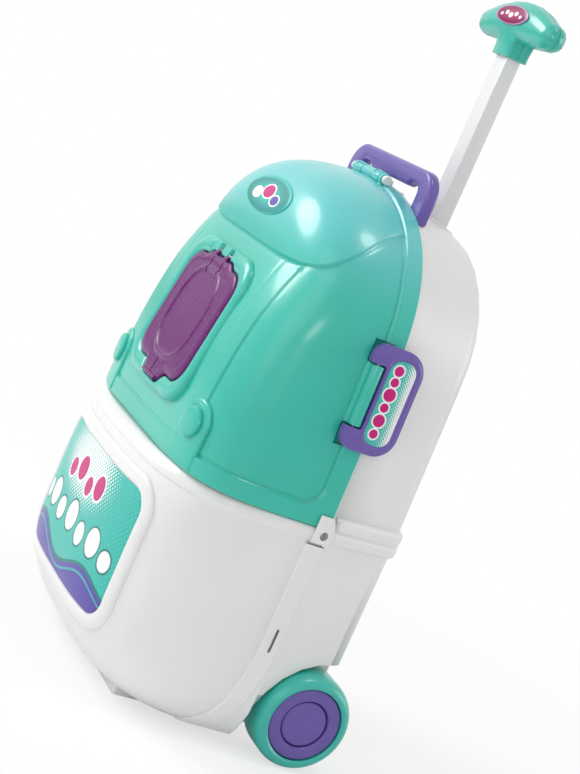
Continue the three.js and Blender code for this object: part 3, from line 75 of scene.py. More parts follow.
# Places that several pieces share
X_AXIS, Y_AXIS, Z_AXIS = Vector((1, 0, 0)), Vector((0, 1, 0)), Vector((0, 0, 1))
DOOR_UP = Vector((0, 16, 97)).normalized()
DOOR_MIDDLE = Vector((0, -99.6, PARTING + 85.5))
CLIP_RISE = 95.0
SIDE_UP = Vector((-SIDE_LEAN, 0, SHOULDER_RISE)).normalized()
SIDE_MIDDLE = Vector((CASE_HALF - SIDE_LEAN * CLIP_RISE / SHOULDER_RISE, 0, PARTING + CLIP_RISE))
CLIP_AXIS = (-15.0, 4.4)    # the clips' hinge: its place along Y from SIDE_MIDDLE, and how far out it lies
HINGE_Y, HINGE_Z = -12.0, ARCH_TOP + 4
AXLE = (0, 45.8, 35.6)
LABEL_HALF, LABEL_LOW, LABEL_HIGH, LABEL_CORNER = 89, 50, 145, 16
BADGE_HALF, BADGE_MIDDLE = 39, 357.5
GRIP_BADGE_HIGH = 543.6
SIDES = (1, -1)


# ---------------------------------------------------------------- sizes and colours that a user changes

def length(name, description, millimetres):
    """A length of the panel, given in millimetres and kept in metres."""
    return bpy.props.FloatProperty(
        name=name, description=description, default=millimetres * MM, min=0.0, precision=5,
        unit="LENGTH", subtype="DISTANCE")


def colour(name, description, red, green, blue):
    """A colour of the panel, given as three numbers up to 255."""
    return bpy.props.FloatVectorProperty(
        name=name, description=description, default=(red / 255, green / 255, blue / 255),
        size=3, min=0.0, max=1.0, subtype="COLOR_GAMMA")


class CaseSizes(bpy.types.PropertyGroup):
    """Sizes of the mouldings that stand on the case's shells"""
    wall: length("Wall", "Thickness of the moulded shells", 2.5)
    band_proud: length("Band height", "How far the lid's bands stand out of its wall", 2.0)
    band_width: length("Band width", "Width of the bands along the lid's rim and bottom edge", 12.0)
    band_corner: length("Band corner", "Radius of the corner where the two bands meet", 15.0)
    bead: length("Groove", "Depth of the groove along the bands' inner edge", 0.6)
    panel_proud: length("Front panel", "How far the lid's front panel stands out of its sides", 1.0)
    rim_roll: length("Bowl rim", "How far the bowl's rolled rim stands out", 2.2)
    rear_band: length("Rear band", "How far the band round the rear shells stands out", 3.0)
    frame_high: length("Label frame", "Height of the raised frame round the front label", 2.9)
    ridge: length("Door ridge", "Height of the raised line on the door", 0.9)


class CaseColours(bpy.types.PropertyGroup):
    """Colours of the case, as they look in plain light"""
    lid: colour("Lid", "Mint of the lid", 48, 186, 167)
    # Dome is a painted reflection: the top of the lid painted lighter and bluer than its mint, where it would mirror
    # the bright surroundings.
    dome: colour("Dome", "Bluer mint at the top of the lid", 94, 196, 196)
    grip: colour("Grip", "Mint of the T grip", 44, 178, 160)
    tyre: colour("Tyre", "Mint of the wheels' rims", 46, 178, 164)
    purple: colour("Purple", "Handle, clips and hubs", 104, 84, 166)
    door: colour("Door", "Purple of the door", 112, 16, 116)
    teal: colour("Print teal", "Ground of the labels", 62, 184, 172)
    print_purple: colour("Print purple", "Lower band of the front label", 92, 78, 164)
    magenta: colour("Print magenta", "Badge of the grip and dots of the labels", 196, 24, 118)
    shell: colour("Shell", "White of the bowl and rear shells", 231, 231, 230)
    inner: colour("Inner parts", "Light grey of the foot, guide and bushes", 242, 242, 241)
    rod: colour("Rod", "Light grey of the pull rod", 226, 226, 226)
    steel: colour("Steel", "Screws, pins and axle", 158, 160, 164)
    floor: colour("Floor", "Floor and background", 250, 250, 250)


def colours():
    """The colours that the panel shows."""
    return bpy.context.scene.case_colours


def mm(name):
    """A size that the panel shows, in millimetres."""
    return getattr(bpy.context.scene.case_sizes, name) / MM


# ---------------------------------------------------------------- finishes

def linear(rgb):
    """A colour as it looks, turned into the light values that the shader takes."""
    return tuple(c / 12.92 if c <= 0.04045 else ((c + 0.055) / 1.055) ** 2.4 for c in rgb) + (1.0,)


def toned(tone, share, more=0.0):
    """A share of a colour, made lighter by a little more of each light."""
    return tuple(min(share * c + more, 1.0) for c in tone[:3]) + (1.0,)


class Value:
    """A shader value, written in sums like a number."""

    def __init__(self, finish, socket):
        self.finish, self.socket = finish, socket

    def sum(self, operation, *others, first=True):
        terms = [self, *others] if first else [*others, self]
        return self.finish.value("ShaderNodeMath", {"operation": operation}, dict(enumerate(terms)))

    def __add__(self, other): return self.sum("ADD", other)
    def __radd__(self, other): return self.sum("ADD", other)
    def __sub__(self, other): return self.sum("SUBTRACT", other)
    def __rsub__(self, other): return self.sum("SUBTRACT", other, first=False)
    def __mul__(self, other): return self.sum("MULTIPLY", other)
    def __rmul__(self, other): return self.sum("MULTIPLY", other)
    def __truediv__(self, other): return self.sum("DIVIDE", other)
    def __pow__(self, other): return self.sum("POWER", other)
    def __abs__(self): return self.sum("ABSOLUTE")
    def sine(self): return self.sum("SINE")
    def cosine(self): return self.sum("COSINE")
    def least(self, other): return self.sum("MINIMUM", other)

    def wrapped(self, size):
        """The distance to the nearest multiple of a size, with its sign."""
        return self.sum("WRAP", size / 2, -size / 2)

    def rising(self, low, high):
        """0 below low, 1 above high, smooth between; the other way round where low is above high."""
        ends = {"From Min": low, "From Max": high, "Value": self}
        return self.finish.value("ShaderNodeMapRange", {"interpolation_type": "SMOOTHSTEP"}, ends)


class Finish:
    """A material on a Principled shader, and one method that adds any other node to it."""

    def __init__(self, name, **constants):
        self.material = bpy.data.materials.new(name)
        self.material.use_nodes = True
        self.tree = self.material.node_tree
        self.shader = self.tree.nodes["Principled BSDF"]
        for socket, value in constants.items():
            self.shader.inputs[socket.replace("_", " ")].default_value = value
        self.place = self.node("ShaderNodeTexCoord").outputs["Object"]

    def node(self, kind, settings=None, values=None):
        """A node with its settings, and with its sockets set or linked by name or number."""
        node = self.tree.nodes.new(kind)
        for name, value in (settings or {}).items():
            setattr(node, name, value)
        for name, value in (values or {}).items():
            self.put(node.inputs[name], value)
        return node

    def put(self, socket, value):
        """Links a socket to a value of the tree, or sets it to a plain number or colour."""
        if isinstance(value, Value):
            value = value.socket
        if isinstance(value, bpy.types.NodeSocket):
            self.tree.links.new(value, socket)
        else:
            socket.default_value = value

    def value(self, kind, settings=None, values=None):
        return Value(self, self.node(kind, settings, values).outputs[0])

    def set(self, name, value):
        """Sets or links one of the shader's values."""
        self.put(self.shader.inputs[name], value)

    def axes(self):
        """The place on the piece along X, Y and Z, in millimetres."""
        parts = self.node("ShaderNodeSeparateXYZ", None, {0: self.place})
        return [Value(self, parts.outputs[i]) / MM for i in range(3)]

    def noise(self, size, detail=2.0, roughness=0.5, stretch=None):
        """Noise of a grain size in millimetres, from 0 to 1."""
        place = self.place
        if stretch:
            place = self.node("ShaderNodeMapping", None, {"Vector": place, "Scale": stretch}).outputs[0]
        return self.value("ShaderNodeTexNoise", None, {
            "Vector": place, "Scale": 1 / (size * MM), "Detail": detail, "Roughness": roughness})

    def mixed(self, share, first, second):
        """A colour between two colours. The node's sockets 0, 6 and 7 are the share and the colours."""
        node = self.node("ShaderNodeMix", {"data_type": "RGBA"}, {0: share, 6: first, 7: second})
        return node.outputs[2]

    def bump(self, height, distance):
        """A normal that follows a height from 0 to 1, the distance in millimetres."""
        return self.node("ShaderNodeBump", None, {"Height": height, "Distance": distance * MM}).outputs["Normal"]


FINISHES = {}


def finish(name, maker):
    """A finish by name, made the first time that it is asked for."""
    if name not in FINISHES:
        FINISHES[name] = maker(name)
    return FINISHES[name]


def moulded(name, shade, gloss, coat, second=None, reflection_heights=None):
    """Moulded plastic: faint flow marks in its colour, uneven gloss, fine texture and a few rubbed scratches.
    Between the two reflection_heights it changes to a second colour, a painted reflection that makes the upper part
    lighter and bluer."""
    made = Finish(name, Coat_Weight=coat, Coat_Roughness=0.12, IOR=1.48)
    flow = made.noise(60, 3)
    fine = made.noise(1.4, 4, 0.6)
    rubbed = made.noise(9, 5, 0.7, (0.25, 1.0, 3.0)).rising(0.62, 0.72)
    tone = linear(shade)
    base = made.mixed(flow.rising(0.3, 0.7), toned(tone, 0.97), tone)
    if second:
        # painted reflection: above the reflection heights the colour turns to the lighter, bluer second colour
        base = made.mixed(made.axes()[2].rising(*reflection_heights), base, linear(second))
    made.set("Base Color", made.mixed(rubbed * 0.1, base, toned(tone, 1.0, 0.06)))
    made.set("Roughness", gloss + (flow - 0.5) * 0.05 + rubbed * 0.06)
    made.set("Normal", made.bump(fine + rubbed * 0.4, 0.002))
    return made.material


def lid_mint(name):
    # The dome colour, from 310 mm up, is a painted reflection: the top of the lid painted lighter and bluer.
    return moulded(name, colours().lid, 0.3, 0.35, colours().dome, (310, 375))


def inner_mint(name):
    return moulded(name, colours().lid, 0.42, 0.1)


def grip_mint(name):
    return moulded(name, colours().grip, 0.26, 0.35)


def purple_plastic(name):
    return moulded(name, colours().purple, 0.3, 0.25)


def shell_white(name):
    return moulded(name, colours().shell, 0.36, 0.15)


def soft_grey(name):
    return moulded(name, colours().inner, 0.5, 0.05)


def tyre_mint(name):
    """Mint plastic of the wheels' rims, duller and marked along its tread."""
    made = Finish(name, Coat_Weight=0.3, Coat_Roughness=0.15)
    fine = made.noise(1.1, 4, 0.6)
    marks = made.noise(4, 6, 0.75, (3.0, 0.6, 0.6)).rising(0.58, 0.72)
    tone = linear(colours().tyre)
    made.set("Base Color", made.mixed(marks * 0.22, tone, toned(tone, 0.8, 0.124)))
    made.set("Roughness", 0.32 + marks * 0.12 + (fine - 0.5) * 0.04)
    made.set("Normal", made.bump(fine, 0.006))
    return made.material


def hub_plastic(name):
    """Purple plastic of the hubs, with the fine rings that its mould leaves."""
    made = Finish(name, Coat_Weight=0.15, Coat_Roughness=0.2)
    across, deep, high = made.axes()
    pitch = 1.3
    reach = ((deep - (AXLE[1] + SEAM_SHIFT)) ** 2 + (high - AXLE[2]) ** 2) ** 0.5
    rings = (reach * (2 * math.pi / pitch)).sine()
    flow = made.noise(30, 3)
    tone = linear(colours().purple)
    made.set("Base Color", made.mixed(flow.rising(0.3, 0.7), toned(tone, 0.9), tone))
    made.set("Roughness", 0.34 + rings * 0.03 + (flow - 0.5) * 0.1)
    made.set("Normal", made.bump(rings * 0.5 + made.noise(1.2, 4) * 0.5, 0.006))
    return made.material


def rod_grey(name):
    """Light grey lacquered tube with fine marks along its length."""
    made = Finish(name, Coat_Weight=0.2, Coat_Roughness=0.15)
    along = made.noise(2.2, 5, 0.7, (1.0, 1.0, 0.03))
    fine = made.noise(0.9, 3)
    tone = linear(colours().rod)
    made.set("Base Color", made.mixed(along.rising(0.5, 0.75) * 0.35, tone, toned(tone, 0.86)))
    made.set("Roughness", 0.3 + along * 0.12)
    made.set("Normal", made.bump(along + fine * 0.3, 0.01))
    return made.material


def zinc_steel(name):
    """Zinc-plated steel of screws, pins and axle, slightly mottled."""
    made = Finish(name, Metallic=1.0)
    mottled = made.noise(1.6, 5, 0.7)
    tone = linear(colours().steel)
    made.set("Base Color", made.mixed(mottled.rising(0.35, 0.7), toned(tone, 0.7), tone))
    made.set("Roughness", 0.3 + mottled * 0.2)
    made.set("Normal", made.bump(made.noise(0.5, 4), 0.01))
    return made.material


def glitter_purple(name):
    """Purple see-through plastic with glitter flakes in it, over a darker ground."""
    made = Finish(name, Coat_Weight=0.12, Coat_Roughness=0.1, IOR=1.35)
    across, deep, high = made.axes()
    flake_size = 1.5 * MM
    cells = made.node("ShaderNodeTexVoronoi", {"feature": "F1"}, {
        "Vector": made.place, "Scale": 1 / flake_size, "Randomness": 1.0})
    shade = made.node("ShaderNodeSeparateColor", None, {0: cells.outputs["Color"]})
    flake = Value(made, shade.outputs[0]).rising(0.66, 0.74)
    near = 1 - Value(made, cells.outputs["Distance"]).rising(0.10, 0.34)
    spark = flake * near
    weave = ((across * 2.4 + high * 1.5).sine() * (across * -1.3 + high * 2.6).sine()) * 0.5 + 0.5
    tone = linear(colours().door)
    cloud = made.noise(22, 3)
    base = made.mixed(weave * 0.55 + cloud * 0.35, toned(tone, 0.62), tone)
    made.set("Base Color", made.mixed(spark, base, toned(tone, 0.75, 0.16)))
    made.set("Metallic", spark * 0.7)
    made.set("Roughness", 0.24 + weave * 0.12)
    made.set("Normal", made.bump(weave * 0.6 + made.noise(0.8, 3) * 0.4, 0.03))
    return made.material


def dots(across, along, pitch, radius, edge=0.25):
    """Round dots in two staggered rows, 1 inside them. The radius can change from place to place."""
    first = (across.wrapped(pitch) ** 2 + along.wrapped(pitch) ** 2) ** 0.5
    shifted = ((across + pitch / 2).wrapped(pitch) ** 2 + (along + pitch / 2).wrapped(pitch) ** 2) ** 0.5
    return (radius - first.least(shifted)).rising(-edge, edge)


def disc(across, along, centre, radius, edge=0.3, stretch=1.0):
    """A disc, 1 inside it, made wider across by stretch."""
    reach = (((across - centre[0]) / stretch) ** 2 + (along - centre[1]) ** 2) ** 0.5
    return 1 - reach.rising(radius - edge, radius + edge)


WHITE = (0.88, 0.88, 0.88, 1.0)
DEEP_TEAL = (0.015, 0.27, 0.26, 1.0)
PALE_PINK = (0.50, 0.24, 0.46, 1.0)


def ink(name, coat_roughness=0.12):
    """The start of a print's finish, with the place on it in millimetres."""
    made = Finish(name, Coat_Weight=0.1, Coat_Roughness=coat_roughness, IOR=1.35)
    return made, made.axes()


def printed(made, base):
    """Gives a print its film: a thin clear coat with a few fine scratches and a slightly raised ink."""
    fine = made.noise(1.2, 4, 0.6)
    scratch = made.noise(7, 6, 0.8, (1.0, 1.0, 6.0)).rising(0.66, 0.74)
    made.set("Base Color", base)
    made.set("Roughness", 0.34 + scratch * 0.18 + (fine - 0.5) * 0.06)
    made.set("Normal", made.bump(fine + scratch * 0.5, 0.012))
    return made.material


def front_print(name):
    """Front label: teal ground, white dots that thin out, rows of white and magenta discs, purple hills below."""
    made, (x, y, z) = ink(name, 0.2)
    teal, purple, pink = (linear(getattr(colours(), hue)) for hue in ("teal", "print_purple", "magenta"))
    outline = toned(teal, 0.45)
    glow = 1 - (((x + 6) / 62) ** 2 + ((z - 132) / 34) ** 2).rising(0.0, 1.3)
    base = made.mixed(dots(x, z, 4.4, 0.15 + glow * 1.5), teal, WHITE)
    small, middling, large = (88, 7.5), (88, 8.5), (92, 10.5)
    low_row = ((-72, small), (-50, large), (-25, middling), (1, (92, 11.0)), (27, middling), (53, large), (76, small))
    high_row = ((-34, (118, 7.0)), (-14, (124, 9.0)), (9, (118, 7.0)), (29, (124, 9.0)))
    for row, border, rim, middle in ((low_row, 1.6, outline, WHITE), (high_row, 1.8, WHITE, pink)):
        for place, (high, size) in row:
            base = made.mixed(disc(x, z, (place, high), size + border), base, rim)
            base = made.mixed(disc(x, z, (place, high), size), base, middle)
    over = z - (68 + (x * (2 * math.pi / 112)).cosine() * -7)
    base = made.mixed(1 - over.rising(-0.3, 0.3), base, outline)
    base = made.mixed(1 - over.rising(-2.7, -2.1), base, purple)
    base = made.mixed((1 - abs(over + 7).rising(0.6, 1.0)) * 0.85, base, teal)
    return printed(made, base)


def dome_print(name):
    """Oval badge on the dome: teal ground, lighter edge and three discs."""
    made, (x, y, z) = ink(name)
    teal, pink, purple = (linear(getattr(colours(), hue)) for hue in ("teal", "magenta", "print_purple"))
    reach = ((x / BADGE_HALF) ** 2 + ((z - BADGE_MIDDLE) / 13.2) ** 2) ** 0.5
    base = made.mixed(reach.rising(0.2, 0.9), teal, DEEP_TEAL)
    base = made.mixed(reach.rising(0.93, 0.95), base, teal)
    for place, high, size, tone in ((-17, 356, 3.6, WHITE), (0, 360, 5.0, pink), (17, 356, 3.6, purple)):
        base = made.mixed(disc(x, z, (place, high), size + 1.0, 0.2, 1.8), base, WHITE)
        base = made.mixed(disc(x, z, (place, high), size - 0.1, 0.2, 1.8), base, tone)
    return printed(made, base)


def grip_print(name):
    """Oval badge on the grip: magenta ground, lighter rim and five white dots."""
    made, (x, y, z) = ink(name)
    pink = linear(colours().magenta)
    reach = ((x / 23.9) ** 2 + ((z - GRIP_BADGE_HIGH) / 7.3) ** 2) ** 0.5
    base = made.mixed(reach.rising(0.0, 0.9), toned(pink, 0.8), toned(pink, 0.35))
    base = made.mixed(reach.rising(0.88, 0.91), base, PALE_PINK)
    for place, high, size in ((-14, 543.0, 1.3), (-7, 544.6, 1.7), (0, 543.2, 2.1), (7, 544.6, 1.7), (14, 543.0, 1.3)):
        base = made.mixed(disc(x, z, (place, high), size, 0.2, 1.5), base, WHITE)
    return printed(made, base)


def clip_print(name):
    """Clip label: teal ground, white dots that grow to the rear, and magenta discs with white edges."""
    made, (x, y, z) = ink(name)
    teal, pink = linear(colours().teal), linear(colours().magenta)
    across, along = y - SEAM_SHIFT, z - (PARTING + CLIP_RISE + 0.2)
    base = made.mixed(dots(across, along, 2.3, 0.1 + (across / 14).rising(0.1, 1.0) * 0.95, 0.2), teal, WHITE)
    for grow, tone in ((1.1, WHITE), (0, pink)):
        for place, size in ((-22, 3.2), (-12.5, 4.4), (-3.2, 3.2), (6, 4.6), (15, 3.2), (23, 3.6)):
            base = made.mixed(disc(across, along, (-0.6, place), size + grow, 0.25), base, tone)
    return printed(made, base)


# ---------------------------------------------------------------- modelling helpers

def only(piece):
    """Selects one object and makes it the active one."""
    bpy.ops.object.select_all(action="DESELECT")
    piece.select_set(True)
    bpy.context.view_layer.objects.active = piece
    return piece


def mesh_piece(name, points, faces):
    """An object from points in millimetres, measured from the seam."""
    mesh = bpy.data.meshes.new(name)
    mesh.from_pydata((np.asarray(points, float) + (0, SEAM_SHIFT, 0)) * MM, [], faces)
    piece = bpy.data.objects.new(name, mesh)
    bpy.context.scene.collection.objects.link(piece)
    return only(piece)


def edited(piece, *steps):
    """Runs mesh operators, each on all of a piece, in edit mode."""
    only(piece)
    bpy.ops.object.mode_set(mode="EDIT")
    for step, settings in steps:
        bpy.ops.mesh.select_all(action="SELECT")
        getattr(bpy.ops.mesh, step)(**settings)
    bpy.ops.object.mode_set(mode="OBJECT")
    return piece


def merged(piece, outside=True, distance=0.004):
    """Joins points that lie together, and turns the faces of a closed piece outwards."""
    steps = [("remove_doubles", {"threshold": distance * MM})]
    if outside:
        steps.append(("normals_make_consistent", {"inside": False}))
    return edited(piece, *steps)


def smoothed(piece, angle=35):
    """Shades a piece smooth but for its edges that are sharper than an angle in degrees."""
    only(piece)
    bpy.ops.object.shade_smooth_by_angle(angle=math.radians(angle))
    return piece


def apply(piece, kind, **settings):
    """Adds a modifier and applies it."""
    only(piece)
    modifier = piece.modifiers.new(kind.title(), kind)
    for name, value in settings.items():
        setattr(modifier, name, value)
    bpy.ops.object.modifier_apply(modifier=modifier.name)
    return piece


def joined(name, *pieces):
    """Several objects as one piece."""
    bpy.ops.object.select_all(action="DESELECT")
    for piece in pieces:
        piece.select_set(True)
    bpy.context.view_layer.objects.active = pieces[0]
    bpy.ops.object.join()
    pieces[0].name = name
    return pieces[0]


def mirrored(piece, name):
    """The left twin of a piece on the right."""
    twin = piece.copy()
    twin.data = piece.data.copy()
    bpy.context.scene.collection.objects.link(twin)
    twin.name = name
    twin.data.transform(Matrix.Scale(-1, 4, X_AXIS))
    return edited(twin, ("flip_normals", {}))


CASE_WHITE = ("case", "white_plastic", shell_white)
CASE_GREY = ("case", "grey_plastic", soft_grey)
SHARP_ANGLE = 30            # edges of plates and turned pieces sharper than this stay sharp, in degrees
COARSE = 0.02               # distance at which a large surface's points are merged, in millimetres
STOOD_FOR = set()           # CAD nodes that a piece already stands for
SOFT_ANGLE = 32             # edges of softened copies that are sharper than this stay sharp, in degrees


def done(piece, body, slot, maker, *nodes):
    """Gives a piece its finish, its body and the CAD nodes that it stands for. The slot is not used."""
    piece.data.materials.clear()
    piece.data.materials.append(finish(maker.__name__, maker))
    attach(piece, body)
    if nodes:
        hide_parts(*nodes)
        STOOD_FOR.update(nodes)
    return piece


def grid_faces(rows, columns, keep=None, loop=False):
    """Quads between the rows of a grid. keep says which of them stay."""
    faces = []
    for i in range(rows - 1):
        for j in range(columns if loop else columns - 1):
            if keep is None or keep[i, j]:
                k = (j + 1) % columns
                faces.append((i * columns + j, i * columns + k, (i + 1) * columns + k, (i + 1) * columns + j))
    return faces


def grid_normals(grid):
    """Outward normals of a grid whose rows run upwards and whose columns run from the right end at the seam,
    round the front, to the left end. Those at the two ends lie in the seam's plane, square to Y."""
    normal = np.cross(np.gradient(grid, axis=0), np.gradient(grid, axis=1))
    normal /= np.maximum(np.linalg.norm(normal, axis=2, keepdims=True), 1e-9)
    normal[:, (0, -1), 1] = 0
    normal /= np.maximum(np.linalg.norm(normal, axis=2, keepdims=True), 1e-9)
    return normal if normal[len(grid) // 2, 5, 0] > 0 else -normal


def grid_piece(name, grid, keep=None, loop=False):
    rows, columns = grid.shape[:2]
    return mesh_piece(name, grid.reshape(-1, 3), grid_faces(rows, columns, keep, loop))


def capped(name, rows):
    """A closed tube from like rings of points, each end drawn together to a point in its middle."""
    grid = np.array(rows, float)
    ends = [np.broadcast_to(grid[k].mean(0), grid[k].shape) for k in (0, -1)]
    return merged(grid_piece(name, np.concatenate([ends[0][None], grid, ends[1][None]]), loop=True))


def bevelled(piece, width, segments, angle):
    """Rounds a piece's edges that are sharper than an angle."""
    return apply(piece, "BEVEL", width=width * MM, segments=segments, limit_method="ANGLE",
                 angle_limit=math.radians(angle), use_clamp_overlap=True)


def facing(piece, away_from):
    """Turns an open shell's faces away from a point inside it."""
    total = sum((face.center - Vector(away_from)).dot(face.normal) * face.area for face in piece.data.polygons)
    return edited(piece, ("flip_normals", {})) if total < 0 else piece


def smooth(value, low, high):
    """0 below low, 1 above high, smooth between."""
    share = np.clip((np.asarray(value, float) - low) / (high - low), 0, 1)
    return share * share * (3 - 2 * share)


def spaced(stops, counts):
    """Stations between stops, with a count for each stretch."""
    parts = [np.linspace(a, b, n + 1)[:-1] for a, b, n in zip(stops, stops[1:], counts)]
    return np.concatenate(parts + [stops[-1:]])


def softened(node, body, slot, maker, width=0.0, segments=2, dissolve=1.0):
    """A copy of a CAD node with its points merged, its edges rounded and its faces shaded smooth."""
    piece = bpy.data.objects.new(node + "_soft", NODES[node].data.copy())
    bpy.context.scene.collection.objects.link(piece)
    edited(merged(piece), ("dissolve_limited", {"angle_limit": math.radians(dissolve)}))
    if width:
        bevelled(piece, width, segments, 40)
    return done(smoothed(piece, SOFT_ANGLE), body, slot, maker, node)


# ---------------------------------------------------------------- outlines

def powered(angle, power):
    """The unit superellipse at an angle."""
    cosine, sine = np.cos(angle), np.sin(angle)
    return (np.sign(cosine) * np.abs(cosine) ** (2 / power), np.sign(sine) * np.abs(sine) ** (2 / power))


def oval(half_width, half_height, power=2.0, count=96, middle=(0, 0)):
    x, y = powered(np.linspace(0, 2 * math.pi, count, endpoint=False), power)
    return np.stack([middle[0] + half_width * x, middle[1] + half_height * y], 1)


def rounded(half_width, low, high, corner, arc=14, side=14):
    """A rounded rectangle, its points in like places whatever its size."""
    points = []
    reach = half_width - corner
    centres = [(reach, high - corner), (-reach, high - corner), (-reach, low + corner), (reach, low + corner)]
    for k, middle in enumerate(np.array(centres)):
        angles = np.linspace(k * math.pi / 2, (k + 1) * math.pi / 2, arc + 1)
        points += list(middle + corner * np.column_stack([np.cos(angles), np.sin(angles)]))
        end = points[-1]
        start = centres[(k + 1) % 4] + (end - middle)
        points += [end + (start - end) * share for share in np.linspace(0, 1, side + 1)[1:-1]]
    return np.array(points)


def on_surface(surface, x, z, lift):
    """Points at a lift over a front surface y(x, z)."""
    step = 0.25             # over which the slope is measured
    slope_x = (surface(x + step, z) - surface(x - step, z)) / (2 * step)
    slope_z = (surface(x, z + step) - surface(x, z - step)) / (2 * step)
    normal = np.stack([slope_x, -np.ones_like(x), slope_z], -1)
    normal /= np.linalg.norm(normal, axis=-1, keepdims=True)
    return np.stack([x, surface(x, z), z], -1) + normal * np.asarray(lift)[..., None]


def patch(name, outline, surface, profile, middle=None):
    """A plate that follows a surface: rings (share of the outline, lift), from its face's middle to its back's."""
    middle = np.mean(outline, 0) if middle is None else np.array(middle, float)
    flat = np.array([middle + (outline - middle) * share for share, lift in profile])
    lifts = np.array([[lift] * len(outline) for share, lift in profile], float)
    grid = on_surface(surface, flat[..., 0], flat[..., 1], lifts)
    return merged(grid_piece(name, grid, loop=True), distance=COARSE)


def raised_ring(name, outer, inner, surface, profile):
    """A raised line between two outlines. profile gives (share from outer to inner, lift) round its section."""
    section = list(profile) + [profile[0]]
    flat = np.array([outer + (inner - outer) * share for share, lift in section])
    lifts = np.array([[lift] * len(outer) for share, lift in section], float)
    grid = on_surface(surface, flat[..., 0], flat[..., 1], lifts)
    return merged(grid_piece(name, grid, loop=True))


def rim_section(height, sink, power=3.0, count=13):
    """A rounded section for raised_ring: over the top, then back underneath."""
    shares = 0.5 - 0.5 * np.cos(np.linspace(0, math.pi, count))
    top = [(s, height * (1 - abs(2 * s - 1) ** power) ** (1 / power)) for s in shares]
    return [(0.0, -sink)] + top + [(1.0, -sink)]


def plate(name, outline, matrix, low, high, bevel=0.0, segments=4):
    """A flat plate: a circle bent to the outline, extruded, its edges rounded."""
    bpy.ops.object.select_all(action="DESELECT")
    bpy.ops.mesh.primitive_circle_add(vertices=len(outline), radius=0.05, fill_type="NGON")
    piece = bpy.context.object
    piece.name = name
    for vertex, (u, v) in zip(piece.data.vertices, outline):
        vertex.co = (u * MM, v * MM, low * MM)
    bpy.ops.object.mode_set(mode="EDIT")
    bpy.ops.mesh.select_all(action="SELECT")
    bpy.ops.mesh.extrude_region_move(TRANSFORM_OT_translate={"value": (0, 0, (high - low) * MM)})
    bpy.ops.mesh.select_all(action="SELECT")
    bpy.ops.mesh.normals_make_consistent(inside=False)
    bpy.ops.object.mode_set(mode="OBJECT")
    if bevel:
        bevelled(piece, bevel, segments, 50)
    piece.data.transform(matrix)
    piece.matrix_world = Matrix.Identity(4)
    return smoothed(piece, SHARP_ANGLE)


def frame_at(place, right, up):
    """A frame whose plate lies in right and up, its thickness along their cross product, from the seam in mm."""
    right, up = Vector(right).normalized(), Vector(up).normalized()
    out = right.cross(up)
    spot = (Vector(place) + Y_AXIS * SEAM_SHIFT) * MM
    return Matrix(((right.x, up.x, out.x, spot.x), (right.y, up.y, out.y, spot.y),
                   (right.z, up.z, out.z, spot.z), (0, 0, 0, 1)))


def spun(name, profile, place, axis, steps):
    """A turned piece: a profile of (radius, distance along the axis) in mm, spun about the axis."""
    bpy.ops.object.select_all(action="DESELECT")
    bpy.ops.mesh.primitive_plane_add(size=0.01)
    piece = bpy.context.object
    piece.name = name
    bpy.ops.object.mode_set(mode="EDIT")
    bpy.ops.mesh.select_all(action="SELECT")
    bpy.ops.mesh.merge(type="CENTER")
    radius, height = profile[0]
    bpy.ops.transform.translate(value=(radius * MM, 0, height * MM))
    for (r0, h0), (r1, h1) in zip(profile, profile[1:]):
        bpy.ops.mesh.extrude_region_move(TRANSFORM_OT_translate={"value": ((r1 - r0) * MM, 0, (h1 - h0) * MM)})
    bpy.ops.mesh.select_all(action="SELECT")
    bpy.ops.mesh.spin(steps=steps, angle=2 * math.pi, center=(0, 0, 0), axis=(0, 0, 1))
    bpy.ops.mesh.select_all(action="SELECT")
    bpy.ops.mesh.remove_doubles(threshold=0.01 * MM)
    bpy.ops.mesh.normals_make_consistent(inside=False)
    bpy.ops.object.mode_set(mode="OBJECT")
    turn = Z_AXIS.rotation_difference(Vector(axis)).to_matrix().to_4x4()
    piece.data.transform(Matrix.Translation((Vector(place) + Y_AXIS * SEAM_SHIFT) * MM) @ turn)
    piece.matrix_world = Matrix.Identity(4)
    return smoothed(piece, SHARP_ANGLE)


def arc(centre, radius, start, end, count=6):
    """Points of an arc in a profile, angles in degrees."""
    return [(centre[0] + radius * math.cos(math.radians(a)), centre[1] + radius * math.sin(math.radians(a)))
            for a in np.linspace(start, end, count)]


# ---------------------------------------------------------------- the bare shapes of the shells

def half_width(z):
    """Half the width of the lid and the upper rear shell at a height."""
    z = np.asarray(z, float)
    rise = np.clip((z - SHOULDER) / ARCH_RISE, 0, 1)
    arch = SHOULDER_HALF * (1 - rise ** ARCH_POWER) ** (1 / ARCH_POWER)
    return np.where(z <= SHOULDER, CASE_HALF - SIDE_LEAN * (z - PARTING) / SHOULDER_RISE, arch)


def lid_depth(z):
    """How far the lid stands in front of the seam at a height."""
    z = np.asarray(z, float)
    share = np.clip((z - PARTING) / WAVE_LOW, 0, 1)
    low = PARTING + WAVE_LOW
    dome = np.clip((z - low) / (ARCH_TOP - low), 0, 1)
    return (LID_BELLY - LID_LEAN * share ** LEAN_POWER) * (1 - dome ** DOME_POWER) ** (1 / DOME_POWER)


def lid_power(z):
    """Power of the lid's plan curve, squarer low down than in the dome."""
    return LID_CORNER + (DOME_CORNER - LID_CORNER) * np.clip((np.asarray(z, float) - SHOULDER) / ARCH_RISE, 0, 1)


def lid_front(x, z):
    """The place of the lid's front surface along Y."""
    power = lid_power(z)
    side = np.clip(np.abs(x) / np.maximum(half_width(z), 0.1), 0, 1)
    return -lid_depth(z) * (1 - side ** power) ** (1 / power)


def wave_height(y):
    """Height of the step between the lid's walls and its dome, at a distance from the seam."""
    return PARTING + WAVE_LOW + WAVE_RISE * smooth(np.asarray(y, float), -WAVE_FRONT, -WAVE_REAR)


